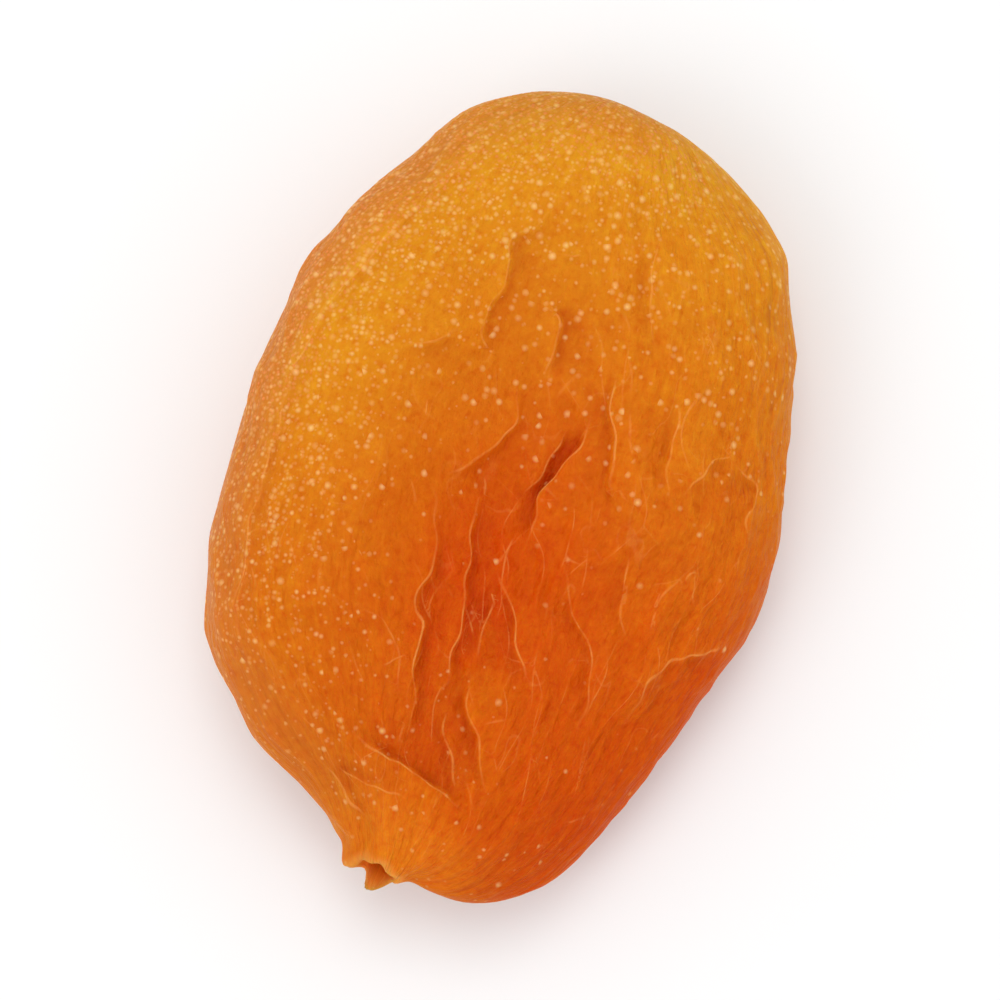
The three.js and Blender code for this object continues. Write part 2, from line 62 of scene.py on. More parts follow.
# ---------------------------------------------------------------- form, in millimetres
# The same values as the solid's: the skin below follows it, and only adds what is finer.

MIDDLE = 5.0            # height of the widest line
ABOVE = 5.9             # from the widest line to the top, before the middle sinks
BELOW = 0.1             # how far the underside would reach into the ground if it were not pressed flat
MIDDLE_SLOPE = (-0.05, 0.01)
MIDDLE_TWIST = 0.0009
ABOVE_SLOPE = (-0.055, 0.02)
FULL_ABOVE = 2.75       # fullness of the section: 2 is an ellipse, 4 is nearly a box
FULL_BELOW = 2.7
STEEPER = 0.9           # added to the fullness above, on the side that stands steep
STEEP_SIDE = math.radians(165)

# Outline seen from above, anticlockwise from the right.
RIM = (
    (13.8, 0.6), (13.2, 4.1), (12.6, 7.9), (11.9, 11.6), (10.6, 15.1), (8.3, 17.7), (5.3, 19.3),
    (1.9, 20.6), (-1.4, 21.0), (-4.9, 20.1), (-7.7, 18.0), (-9.7, 14.6), (-12.0, 10.6), (-13.5, 6.4),
    (-13.9, 1.6), (-13.8, -3.1), (-13.3, -8.0), (-11.7, -12.3), (-9.0, -15.1), (-5.9, -17.0),
    (-3.1, -18.9), (0.2, -19.9), (3.1, -20.6), (6.0, -19.2), (8.4, -16.5), (10.5, -12.0),
    (12.5, -6.5), (13.6, -2.1),
)

# Broad hollows (height below zero) and swells: name, middle, half sizes, turn in degrees, height.
TOP_LUMPS = (
    ("main hollow", (0.7, -2.2), (6.6, 13.5), 4, -2.0),
    ("slit hollow", (1.4, 1.0), (3.4, 5.0), -14, -0.35),
    ("left lobe", (-7.0, -5.6), (4.2, 8.5), 8, 0.45),
    ("upper left", (-6.4, 9.0), (4.4, 5.2), -20, 0.3),
    ("right swell", (8.2, 6.4), (3.8, 7.0), 8, 0.3),
    ("low right hollow", (8.2, -10.6), (3.0, 4.5), -25, -0.4),
    ("end swell", (3.6, -17.0), (5.0, 2.6), 15, 0.45),
    ("beside the mouth", (-7.0, -15.6), (4.5, 2.6), -35, -0.7),
    ("yellow bump", (8.5, -4.0), (0.6, 2.0), -8, 0.3),
)
UNDER_LUMPS = (
    ("crown hollow", (0.2, 12.0), (4.0, 5.0), 0, 0.9),
    ("stem hollow", (0.0, -11.8), (3.8, 5.0), 0, 0.9),
    ("left hollow", (-7.6, 0.8), (2.8, 6.0), 0, 0.8),
    ("right hollow", (7.8, 0.6), (2.8, 7.0), 0, 0.8),
)

# Folds of the skin: name, path, rise of the skin on the path's left, drop of the skin on its right,
# the reach of each, and the lean of the edge over to the right.
TOP_FOLDS = (
    ("left lobe edge", ((-1.7, -14.5), (-1.5, -12.4), (-2.4, -9.6), (-2.6, -7.7), (-3.2, -6.8),
                        (-3.0, -5.1), (-3.1, -2.7), (-3.9, -0.3)), 0.17, 0.22, (1.5, 1.4), 0.2),
    ("mid ridge", ((0.1, -10.7), (-0.3, -9.4), (-0.5, -7.9), (-0.7, -5.8), (-1.4, -3.3), (-1.6, -1.1),
                   (-1.9, 0.4)), 0.13, 0.2, (0.9, 1.2), 0.15),
    ("inner ridge", ((0.3, -3.8), (1.4, -5.0), (2.1, -6.4), (2.8, -8.0), (3.1, -9.1)),
     0.13, 0.18, (0.9, 0.8), 0.1),
    ("inner small", ((0.7, -5.4), (0.7, -7.1), (0.9, -8.6)), 0.1, 0.14, (0.6, 0.6), 0.1),
    ("inner low", ((0.3, -9.2), (1.0, -10.7), (1.8, -12.3), (2.3, -13.9), (3.2, -15.3)),
     0.16, 0.24, (0.8, 0.9), 0.15),
    ("valley end", ((0.0, -11.2), (0.3, -12.6), (1.0, -14.2), (1.6, -15.4)), 0.1, 0.14, (0.6, 0.7), 0.05),
    ("upper ledge", ((-3.1, 5.4), (-3.0, 6.7), (-3.7, 7.7), (-3.6, 9.1), (-3.4, 11.0), (-3.7, 12.5),
                     (-2.5, 13.7), (-1.2, 15.8)), 0.1, 0.18, (1.2, 2.0), 0.1),
    ("short fold", ((-7.4, 5.3), (-6.2, 6.2), (-5.6, 6.8), (-4.6, 7.5)), 0.1, 0.14, (0.8, 1.2), 0.1),
    ("slit", ((2.8, 5.4), (3.0, 3.9), (2.7, 2.9), (2.2, 1.9), (1.7, 0.5), (1.7, -1.0), (1.2, -2.0)),
     0.24, 0.42, (0.9, 0.6), 0.3),
    ("slit back", ((0.7, 0.0), (1.1, 1.4), (1.6, 2.8), (2.2, 4.4)), 0.1, 0.22, (0.8, 0.6), 0.1),
    ("pale ridge", ((-3.3, -0.1), (-2.6, 0.8), (-1.9, 1.7), (-1.2, 2.8), (-1.0, 4.3), (-1.4, 6.2)),
     0.2, 0.18, (0.6, 0.8), 0.1),
    ("upper fold", ((0.1, 6.2), (-0.1, 7.7), (-0.2, 9.2), (-0.8, 10.4)), 0.11, 0.2, (0.7, 1.0), 0.1),
    ("right fold", ((3.4, 7.4), (3.6, 6.4), (4.2, 4.7), (4.7, 2.6), (5.4, 1.1)),
     0.15, 0.2, (0.8, 0.9), 0.12),
    ("right far", ((6.8, 7.0), (6.9, 5.8), (7.1, 3.8), (7.6, 1.6)), 0.1, 0.14, (0.8, 0.8), 0.05),
    ("right line", ((6.5, -1.2), (6.7, -2.6), (7.2, -4.0), (7.6, -5.6)), 0.1, 0.14, (0.7, 0.7), 0.05),
    ("right fold upper", ((3.2, 15.0), (3.8, 12.2), (5.2, 9.0)), 0.12, 0.12, (0.9, 0.9), 0.0),
    ("hook", ((8.4, 2.2), (9.0, 3.3), (9.6, 4.4), (10.8, 5.4)), 0.16, 0.14, (0.7, 0.8), 0.1),
    ("hook end", ((10.6, 4.8), (11.4, 4.4), (12.1, 4.0), (12.0, 2.8), (12.5, 1.0)),
     0.16, 0.14, (0.7, 0.8), 0.1),
    ("edge fold", ((9.0, -9.8), (9.5, -8.3), (9.7, -7.1), (10.4, -5.9), (11.7, -4.9), (12.4, -4.2),
                   (13.2, -3.0)), 0.15, 0.18, (0.8, 0.8), 0.1),
    ("right centre", ((3.2, -2.4), (4.2, -4.2), (4.8, -5.0), (5.9, -6.0), (6.5, -7.5), (6.8, -8.9),
                      (6.5, -11.0)), 0.14, 0.16, (0.9, 0.8), 0.12),
    ("mouth fold", ((2.4, -16.0), (1.2, -15.8), (0.0, -15.5), (-1.3, -14.8), (-3.0, -14.4),
                    (-4.4, -14.0)), 0.3, 0.2, (1.1, 0.8), 0.25),
    ("mouth fold left", ((-2.0, -17.9), (-3.5, -17.5), (-4.3, -16.7), (-5.4, -15.6)),
     0.18, 0.14, (0.7, 0.7), 0.1),
    ("mouth fold mid", ((-0.2, -16.4), (-2.0, -16.2), (-3.7, -16.1), (-4.9, -15.7)),
     0.14, 0.12, (0.6, 0.6), 0.1),
    ("shoulder", ((-7.2, -15.4), (-9.6, -12.9), (-10.9, -10.6), (-11.6, -8.0), (-12.0, -5.4),
                  (-12.4, -1.0), (-12.5, 2.0), (-12.2, 4.3), (-11.4, 7.3), (-10.1, 9.9), (-9.2, 11.7),
                  (-7.7, 14.6), (-5.6, 17.2), (-3.0, 18.8)), 0.12, 0.1, (1.0, 1.1), 0.0),
)
UNDER_FOLDS = (
    ("crown fold", ((1.5, 17.0), (-0.5, 13.0), (0.6, 9.5), (-0.4, 6.0)), 0.2, 0.8, (1.0, 1.4), 0.3),
    ("stem fold", ((0.8, -5.8), (-0.6, -9.0), (0.5, -12.5), (-1.0, -16.0)), 0.2, 0.8, (1.0, 1.4), 0.3),
    ("left fold", ((-6.6, -3.6), (-6.2, 0.6), (-7.6, 4.2), (-10.6, 6.0)), 0.2, 0.6, (0.8, 1.3), 0.2),
    ("right fold", ((9.8, 8.6), (7.6, 5.2), (6.8, 1.0), (7.4, -3.4), (6.2, -7.6)), 0.2, 0.7, (0.8, 1.4), 0.2),
    ("low left fold", ((-8.6, -11.8), (-5.6, -9.6), (-3.4, -10.6)), 0.1, 0.4, (0.8, 1.0), 0.0),
    ("up left fold", ((-6.8, 13.8), (-4.6, 10.4), (-4.2, 7.2)), 0.1, 0.45, (0.8, 1.0), 0.0),
    ("low right fold", ((9.4, -9.6), (6.0, -12.4), (4.2, -15.4)), 0.1, 0.4, (0.8, 1.0), 0.0),
)
# How the drawn paths of the top's folds are laid on the fruit.
PLAN_SCALE = 0.962
PLAN_AT = (0.17, -0.62)
FOLD_ENDS = 0.3         # share of a fold over which it fades in and out
LEAN_BACK = 0.3         # the leaning skin is this far back from the edge
LEAN_WIDTH = 0.6

# How far over the rim, as a share, the lumps and folds of a face begin and where they are whole.
ON_FACE = (0.15, 0.75)
NEAR_TOP = (0.05, 0.4)  # the same for the rise and drop of the top's folds
# Broad swells of the whole skin; `down` is how many times faster they change from top to bottom.
SWELL = {"height": 0.22, "length": 12.0, "down": 1.5}
WANDER = {"height": 0.2, "length": 4.5}     # how far a fold strays from its path
HALF_FLAT = 12.0        # half of the section's flat width
HALF_TALL = 7.0         # the section's height above its rim
SECTION = 4 * (HALF_FLAT + HALF_TALL)

# Wrinkles are the lines of nets with long cells, which run from the crown to the stem end like meridians:
# height and flank of a wrinkle, width and length of a cell, and how far the net is pulled about.
BROAD_NET = {"height": 0.24, "flank": 0.75, "cell": (3.1, 11.0), "pull": (0.55, 1.6), "seed": 1}
CLOSE_NET = {"height": 0.16, "flank": 0.5, "cell": (1.9, 6.0), "pull": (0.4, 1.2), "seed": 2}
TWIST = 0.28            # how far the wrinkles on the broad sides slant, to the crown end's left
EDGE_SHARE = 0.55       # share of a wrinkle's height left at the rim
JITTER = 0.84           # how far a cell's middle may lie off its place in the grid
CALM = 0.75             # share of its wrinkles that the tight skin on the upper left loses
REST_AT, REST_HALF, REST_DEPTH = (-0.5, 0.5), (4.6, 6.2), 0.4

MOUTH_AT = np.array((-1.0, -19.6, 6.4))
MOUTH_OUT = np.array((-0.22, -0.86, 0.46))
MOUTH_OUT /= np.linalg.norm(MOUTH_OUT)
MOUTH_RADIUS = 1.15
LIP_WIDTH = 0.52
LIP_HEIGHT = 0.5
LIP_RAGGED = {"share": 0.22, "length": 1.6}
PIT_DEPTH = 1.4
NECK_HEIGHT, NECK_WIDTH = 0.5, 2.4
FLAPS = (               # flaps that stand out of the lips: turn, height, width
    (math.radians(-62), 1.15, 0.6),
    (math.radians(-168), 0.8, 0.8),
)
PLEATS, PLEAT_HEIGHT, PLEAT_RADIUS, PLEAT_WIDTH = 7, 0.16, 2.5, 1.2
MOUTH_REACH = 3.0       # how far behind its middle the mouth shapes the skin

# What the skin adds to the solid: sharper edges, short thin folds, and a finer net of wrinkles.
FOLD_EDGE = 0.16        # width over which the edge of a fold drops
THIN_FOLD = (0.06, 0.08, (0.4, 0.4), 0.04)      # rise, drop, reaches and lean of each thin fold
THIN_FOLDS = (
    ("crossways", ((-0.9, 12.6), (0.0, 12.9))),
    ("upper small", ((-1.2, 10.0), (-0.8, 9.7), (-0.4, 9.3))),
    ("upper left", ((-2.8, 7.2), (-3.1, 6.6), (-3.2, 5.9))),
    ("left small", ((-5.4, 3.3), (-5.4, 2.7), (-5.4, 2.1))),
    ("left inner", ((-5.1, -0.8), (-4.8, -1.4), (-4.5, -2.0))),
    ("top strip", ((-1.9, 0.8), (-1.7, -0.1), (-1.6, -0.8))),
    ("valley small", ((0.6, -4.9), (0.8, -5.8))),
    ("low strip", ((1.9, -14.7), (2.3, -15.2), (2.4, -15.8))),
    ("lobe low", ((-3.7, -10.5), (-3.3, -10.0), (-2.9, -9.6))),
    ("lobe end", ((-2.0, -12.7), (-2.0, -13.2), (-1.8, -13.9))),
    ("mouth right", ((-2.2, -19.3), (-1.6, -19.4), (-0.8, -19.7), (-0.2, -19.9))),
    ("right small", ((3.2, 12.9), (3.5, 12.2), (3.7, 11.4))),
    ("right short", ((7.0, 6.1), (6.9, 5.3), (7.0, 4.7), (7.2, 3.9))),
    ("under right fold", ((4.4, 2.2), (4.9, 1.7), (5.3, 1.2))),
    ("beside right fold", ((5.2, 2.1), (5.5, 1.3))),
    ("right tick", ((10.3, -0.7), (10.0, -1.2), (9.8, -1.8))),
    ("right low", ((6.8, -2.3), (7.1, -3.1), (7.3, -4.0))),
    ("low tick", ((9.4, -6.9), (9.5, -7.6), (9.5, -8.3))),
    ("second edge", ((12.8, -4.7), (12.7, -5.6), (12.8, -6.5))),
    ("stem end", ((7.4, -15.4), (8.1, -15.3), (8.7, -14.8))),
)
FINE_NET = {"height": 0.08, "flank": 0.26, "cell": (1.0, 3.2), "pull": (0.3, 0.8), "seed": 3}
NETS = (BROAD_NET, CLOSE_NET, FINE_NET)
CREST_ROUND = 0.06      # radius that rounds a wrinkle's crest
CREST_NEAR = 0.45       # reach of the band beside a crest in which its painted highlight line is drawn
CREST_BACK = 0.12       # the crest of a fold is this far back from its edge
CREST_FAINTEST = 0.4    # strength of the painted highlight line on the lowest fold
CREST_GAIN = 1.5        # how fast that strength grows with the fold's height
STEP_REACH = 1.6        # reach of the painted shade and light on either side of a fold
STEP_GAIN = 2.2         # how fast that painted shade and light grow with the fold's height
NECK_SPREAD = 3.6       # how far the mouth's golden neck colour, partly painted light, spreads over the skin
PATH_STEPS = 5          # steps from one point of a fold's path to the next
CUTS = 127              # cuts along each edge of the cube that the skin starts from
# Where the skin's faces are gathered, so that they are smaller: direction, strength, width.
GATHERS = (
    ((0, 0, 1), 0.8, 1.2),
    ((-0.07, -0.95, 0.3), 2.2, 0.2),
)

# ---------------------------------------------------------------- where the skin changes colour

# How golden the skin is, partly its own colour and partly painted light, golden to the upper left: in the
# middle, for each millimetre to the right and up, and the twist between an axis that lies slantwise and the
# one square to it.
PALE_MIDDLE = 0.49
PALE_SLOPE = (-0.016, 0.0179)
PALE_TWIST = 0.00086
PALE_AXIS = (0.958, 0.286)
# Patches that are more golden, or deeper (below zero): name, middle, half sizes, turn, amount. The deeper
# sunken middle holds painted shade along with its redder tone, and the golden crown rim painted light.
PALE_PATCHES = (
    ("sunken middle", (0.0, -1.2), (8.0, 11.0), 0, -0.37),
    ("valley", (-1.6, -7.4), (4.0, 5.8), 8, -0.13),
    ("left low", (-11.5, -9.0), (5.0, 7.0), 0, -0.15),
    ("upper left", (-10.4, 4.2), (4.5, 8.0), 0, 0.22),
    ("right", (7.3, -1.4), (4.5, 6.5), 0, 0.1),
    ("right of valley", (4.4, -2.3), (2.5, 3.0), 0, -0.06),
    ("low", (3.0, -14.5), (5.0, 4.0), 0, -0.05),
    ("low right", (9.6, -5.6), (4.0, 4.0), 0, -0.07),
    ("left lobe's low end", (-5.5, -13.5), (3.5, 3.0), 0, -0.07),
    ("crown end", (-4.4, 18.1), (8.0, 4.0), 0, 0.1),
    ("crown rim", (3.5, 20.0), (7.0, 3.0), 0, 0.12),
)
PALE_SIDE = math.radians(125)   # direction of the rim that has pale, grainy skin
PALE_SIDE_FADE = (0.2, 0.75)
CREPE_BAND = (0.6, 0.94)        # from where the grain comes in to where it is whole, out from the middle
WALL_BAND = (0.78, 0.96)        # the same for the colour of the steep side: partly its own duller tone, partly painted sheen and shade
UNDER_SHARE = 0.3               # share of the pores and the grain that is left on the underside
# How thickly the pores stand: everywhere, inside the steep side and at the crown.
PORES = (0.02, 0.36, 0.42)
FINE_PORES = (0.0, 1.25, 0.05)

# ---------------------------------------------------------------- stage, in metres

FLOOR_WHITE = 0.93
KEY_AT = (-0.05, 0.16, 0.46)
FILL_AT = (-0.22, -0.28, 0.36)
LAMP_SIZE = 0.25
AIM_HEIGHT = 6 * MM     # height over the ground that the camera and the lamps look at
LENS = 85.0             # focal length in millimetres


# ---------------------------------------------------------------- small tools

GOLDEN_ANGLE = 2.399963
GOLDEN_SHARE = 0.618034


def smoothstep(x, low, high):
    """A smooth rise from 0 at low to 1 at high, or a fall where low is the larger."""
    t = np.clip((x - low) / (high - low), 0, 1)
    return t * t * (3 - 2 * t)


def bell(x):
    return np.exp(-x * x)


def waves(p, longest, count, seed, shrink=0.62):
    """Sum of plane waves, each shorter and lower than the last, turned by the golden angle."""
    total = 0.0
    result = np.zeros(len(p))
    for i in range(count):
        turn = GOLDEN_ANGLE * (i + 1) + 1.7 * seed
        rise = ((i * GOLDEN_SHARE + 0.37 * seed) % 1) * 1.6 - 0.8
        flat = math.sqrt(1 - rise * rise)
        amplitude = shrink ** (0.9 * i)
        along = flat * (p[:, 0] * math.cos(turn) + p[:, 1] * math.sin(turn)) + p[:, 2] * rise
        result += amplitude * np.sin(2 * math.pi * along / (longest * shrink ** i) + 1.7 * i + 3.1 * seed)
        total += amplitude
    return result / (0.65 * total)


def smooth_path(points):
    """A smooth curve through the points, as a list of places on it."""
    p = [np.array(point, float) for point in points]
    p = [2 * p[0] - p[1]] + p + [2 * p[-1] - p[-2]]
    places = []
    for a, b, c, d in zip(p, p[1:], p[2:], p[3:]):
        for k in range(PATH_STEPS):
            t = k / PATH_STEPS
            places.append(0.5 * (2 * b + (c - a) * t + (2 * a - 5 * b + 4 * c - d) * t ** 2
                                 + (3 * b - a - 3 * c + d) * t ** 3))
    places.append(p[-2])
    return np.array(places)


def beside_line(line, x, y):
    """How far each point lies to the right of a line, and its share of the way along."""
    best = np.full(len(x), np.inf)
    side = np.zeros(len(x))
    share = np.zeros(len(x))
    for i, (start, end) in enumerate(zip(line, line[1:])):
        sx, sy = end - start
        px, py = x - start[0], y - start[1]
        t = np.clip((px * sx + py * sy) / (sx * sx + sy * sy), 0, 1)
        distance = np.hypot(px - t * sx, py - t * sy)
        nearer = distance < best
        best = np.where(nearer, distance, best)
        side = np.where(nearer, np.sign(sy * px - sx * py) * distance, side)
        share = np.where(nearer, (i + t) / (len(line) - 1), share)
    return side, share


# ---------------------------------------------------------------- the skin's form

def outline(theta, length, width):
    """The rim's distance at each angle, as a share of the plain ellipse."""
    across = np.array([x for x, y in RIM]) / (width / 2)
    up = np.array([y for x, y in RIM]) / (length / 2)
    angle = np.arctan2(up, across) % (2 * math.pi)
    order = np.argsort(angle)
    angle, share = angle[order], np.hypot(across, up)[order]
    angle = np.concatenate((angle[-2:] - 2 * math.pi, angle, angle[:2] + 2 * math.pi))
    share = np.concatenate((share[-2:], share, share[:2]))
    slope = np.zeros(len(angle))
    slope[1:-1] = (share[2:] - share[:-2]) / (angle[2:] - angle[:-2])
    theta = theta % (2 * math.pi)
    i = np.clip(np.searchsorted(angle, theta, side="right") - 1, 1, len(angle) - 3)
    span = angle[i + 1] - angle[i]
    u = (theta - angle[i]) / span
    return ((1 + 2 * u) * (1 - u) ** 2 * share[i] + u * (1 - u) ** 2 * span * slope[i]
            + u * u * (3 - 2 * u) * share[i + 1] + u * u * (u - 1) * span * slope[i + 1])


def lumps(table, x, y):
    """Sum of a table's lumps at each point."""
    height = np.zeros(len(x))
    for _name, (cx, cy), (half_x, half_y), degrees, lump in table:
        turn = math.radians(degrees)
        u = ((x - cx) * math.cos(turn) + (y - cy) * math.sin(turn)) / half_x
        v = ((y - cy) * math.cos(turn) - (x - cx) * math.sin(turn)) / half_y
        height += lump * np.exp(-u * u - v * v)
    return height


def folds(table, x, y):
    """The move that the folds give each point, how deep it lies in a fold, how close it is to the low
    side of a fold (above zero) or to the raised one (below zero), and the strength of its nearest crest
    and the distance to it. The depth carries painted shade, the closeness painted shade on the low side
    and painted light on the raised side, and the crest painted highlights."""
    move = np.zeros((len(x), 3))
    hollow = np.zeros(len(x))
    behind = np.zeros(len(x))
    near = np.zeros(len(x))
    off = np.zeros(len(x))
    for _name, path, rise, drop, (reach_left, reach_right), lean in table:
        side, share = beside_line(smooth_path(path), x, y)
        ends = smoothstep(share, 0, FOLD_ENDS) * smoothstep(1 - share, 0, FOLD_ENDS)
        to_left, to_right = np.minimum(side, 0), np.maximum(side, 0)
        # 0 left of the fold's edge and 1 right of it; the clip keeps the power in range
        over = 1 / (1 + np.exp(np.clip(-2 * side / FOLD_EDGE, -60, 60)))
        left = rise * np.exp(to_left / reach_left)
        right = drop * np.exp(-to_right / reach_right)
        move[:, 2] += ends * ((1 - over) * left - over * right)
        across = np.array((path[-1][1] - path[0][1], path[0][0] - path[-1][0]))
        across /= np.linalg.norm(across)
        move[:, :2] += np.outer(ends * lean * bell((side + LEAN_BACK) / LEAN_WIDTH), across)
        hollow += ends * over * right
        # painted shade on the low side of the fold (above zero) and painted light on its raised side (below
        # zero)
        step = over * np.exp(-to_right / STEP_REACH) - (1 - over) * np.exp(to_left / STEP_REACH)
        behind += ends * step * min(1, STEP_GAIN * (rise + drop))
        close = ends * bell(side / CREST_NEAR) * min(1, CREST_FAINTEST + CREST_GAIN * (rise + drop))
        off = np.where(close > near, side + CREST_BACK, off)
        near = np.maximum(close, near)
    return move, hollow, behind, near, off


def gather(direction, centre, strength, width):
    """Draws directions towards one of them, so that the faces are smaller there."""
    centre = np.array(centre) / np.linalg.norm(centre)
    angle = np.arccos(np.clip(direction @ centre, -1, 1))
    moved = direction + np.outer(strength * bell(angle / width), centre)
    return moved / np.linalg.norm(moved, axis=1)[:, None]


def body(direction, length, width):
    """The smooth body that the sphere's directions go to, its normals, and where each point lies on it:
    how far out to the rim (rho), how far over or under the rim (zeta), how near the steep side (steep),
    and how far round its section and how wide that is (around, girth)."""
    theta = np.arctan2(direction[:, 1], direction[:, 0])
    up = direction[:, 2]
    out = np.sqrt(np.maximum(0, 1 - up * up))
    steep = 0.5 + 0.5 * np.cos(theta - STEEP_SIDE)
    full = np.where(up > 0, FULL_ABOVE + STEEPER * steep, FULL_BELOW)
    scale = (out ** full + np.abs(up) ** full) ** (-1 / full)
    rho, zeta = out * scale, up * scale
    radius = outline(theta, length, width) * rho
    x = width / 2 * radius * np.cos(theta)
    y = length / 2 * radius * np.sin(theta)
    middle = MIDDLE + MIDDLE_SLOPE[0] * x + MIDDLE_SLOPE[1] * y + MIDDLE_TWIST * x * y
    reach = np.where(zeta > 0, ABOVE + ABOVE_SLOPE[0] * x + ABOVE_SLOPE[1] * y, middle + BELOW)
    girth = np.hypot(width / 2 * np.cos(theta), length / 2 * np.sin(theta))
    sideways = rho ** (full - 1) / girth
    normal = np.stack((
        sideways * np.cos(theta) * math.sqrt(length / width),
        sideways * np.sin(theta) * math.sqrt(width / length),
        np.sign(zeta) * np.abs(zeta) ** (full - 1) / reach,
    ), axis=1)
    normal /= np.linalg.norm(normal, axis=1)[:, None]
    place = {"rho": rho, "zeta": zeta, "steep": steep}
    place["around"], place["girth"] = round_section(theta, rho, zeta, full)
    return np.stack((x, y, middle + reach * zeta), axis=1), normal, place


def round_section(theta, rho, zeta, full):
    """The way round the section from the middle of the top, and the section's share of the widest one."""
    y = rho * np.sin(theta)
    girth = np.sqrt(np.maximum(1 - y * y, 1e-6))
    x = rho * np.cos(theta) / girth
    tall = np.abs(zeta) / np.maximum(1 - np.abs(y) ** full, 1e-6) ** (1 / full)
    quarter = HALF_FLAT * np.clip(np.abs(x), 0, 1) + HALF_TALL * (1 - np.clip(tall, 0, 1))
    half = np.where(zeta > 0, quarter, 2 * (HALF_FLAT + HALF_TALL) - quarter)
    return np.where(x < 0, -half, half), girth


def scatter(i, j, seed):
    """A number from 0 to 1 for each cell of a grid."""
    return np.sin(127.1 * i + 311.7 * j + 74.7 * seed) * 43758.5453 % 1


def net_line(point, around, net):
    """Signed distance from each point to the nearest line of a net that closes round the section."""
    width, length = net["cell"]
    columns = round(SECTION / width)
    width = SECTION / columns
    pull, pull_along = net["pull"]
    slant = TWIST * point[:, 1] * np.cos(2 * math.pi * around / SECTION)
    across = (around + slant + pull * waves(point, 8.0, 3, net["seed"] + 0.4)) / width
    along = (point[:, 1] + pull_along * waves(point, 9.0, 3, net["seed"] + 3.3)) / length

    def middle_of(column, row):
        shift = [JITTER * (scatter(column % columns, row, net["seed"] + k) - 0.5) for k in (0, 0.5)]
        return column + 0.5 + shift[0], row + 0.5 + shift[1]

    column, row = np.floor(across), np.floor(along)
    nearest = np.full(len(across), np.inf)
    own = np.zeros((4, len(across)))
    for i in (-1, 0, 1):
        for j in (-1, 0, 1):
            x, y = middle_of(column + i, row + j)
            distance = np.hypot(across - x, along - y)
            own = np.where(distance < nearest, (x, y, column + i, row + j), own)
            nearest = np.minimum(distance, nearest)
    line = np.full(len(across), np.inf)
    for i in (-2, -1, 0, 1, 2):
        for j in (-2, -1, 0, 1, 2):
            if i == j == 0:
                continue
            x, y = middle_of(own[2] + i, own[3] + j)
            to_x, to_y = x - own[0], y - own[1]
            ahead = to_x * ((own[0] + x) / 2 - across) + to_y * ((own[1] + y) / 2 - along)
            distance = ahead / np.hypot(to_x / width, to_y / length)
            side = 1 if (i, j) > (0, 0) else -1
            line = np.where(distance < np.abs(line), side * distance, line)
    return line


def crest(distance, flank):
    """A ridge that is steep near its crest and runs out to the sides."""
    return np.exp((CREST_ROUND - np.hypot(distance, CREST_ROUND)) / flank)


def relief(point, place, wrinkle):
    """Height of the swells and wrinkles over the smooth body, and what the colours take from them: the
    painted shade between the wrinkles and the painted highlights on their crests.
    """
    # the broad net's wrinkles stand in some places, and the close net's in others
    wide = waves(point, 11.0, 4, 2.3)
    narrow = waves(point, 6.5, 4, 5.7)
    here = smoothstep(narrow, -0.7, 0.6)
    there = smoothstep(-wide - 0.4 * narrow, -0.6, 0.6)
    # the skin is tight on top towards the steep side, but not at the stem end or at the rim
    rho, steep, y = place["rho"], place["steep"], point[:, 1]
    tight = CALM * smoothstep(steep, 0, 0.8) * smoothstep(y, -9, 2) * smoothstep(rho, 0.99, 0.8)
    loose = np.where(place["zeta"] > -0.2, 1 - tight, 1)
    fade = smoothstep(place["girth"], 0.1, 0.6) * (1 - (1 - EDGE_SHARE) * smoothstep(rho, 0.8, 0.97))
    lines = [net_line(point, place["around"], net) for net in NETS]
    strength = [loose * fade * here, loose * fade * there, (0.35 + 0.65 * loose) * fade * (0.4 + 0.6 * here)]
    swell = SWELL["height"] * waves(point * (1, 1, SWELL["down"]), SWELL["length"], 4, 0.7, 0.7)
    ridges = sum(share * net["height"] * crest(line, net["flank"])
                 for share, line, net in zip(strength, lines, NETS))
    return swell + wrinkle * ridges, {
        "ridges": ridges,
        "tight": 1 - loose,
        "broad_near": strength[0] * bell(lines[0] / CREST_NEAR),
        "broad_off": lines[0],
        "close_near": strength[1] * bell(lines[1] / CREST_NEAR),
        "close_off": lines[1],
    }


def mouth(point):
    """How far the skin moves out along the mouth's own direction, and where its lips, pit and neck are."""
    side = np.array((-MOUTH_OUT[1], MOUTH_OUT[0], 0.0))
    side /= np.linalg.norm(side)
    rise = np.cross(MOUTH_OUT, side)
    offset = point - MOUTH_AT
    u, v = offset @ side, offset @ rise
    front = smoothstep(offset @ MOUTH_OUT, -MOUTH_REACH, -0.5)
    angle = np.arctan2(v, u)
    distance = np.hypot(u, v)
    radius = MOUTH_RADIUS * (1 + 0.16 * np.sin(2 * angle + 0.6) + 0.12 * np.sin(3 * angle + 2))
    lip_height = LIP_HEIGHT + sum(
        height * bell((np.arccos(np.cos(angle - turn)) / width) ** 2) for turn, height, width in FLAPS)
    lip_height *= 1 + LIP_RAGGED["share"] * waves(point, LIP_RAGGED["length"], 3, 4.1)
    lip = bell((distance - radius) / LIP_WIDTH)
    pit = np.exp(-(distance / (0.62 * radius)) ** 4)
    neck = NECK_HEIGHT * bell(distance / NECK_WIDTH)
    pleats = (PLEAT_HEIGHT * np.cos(PLEATS * angle + 1.1 * np.sin(distance))
              * bell((distance - PLEAT_RADIUS) / PLEAT_WIDTH))
    push = front * (lip_height * lip - PIT_DEPTH * pit + neck + pleats)
    return push, {"lip": front * lip, "pit": front * pit, "neck": front * bell(distance / NECK_SPREAD)}


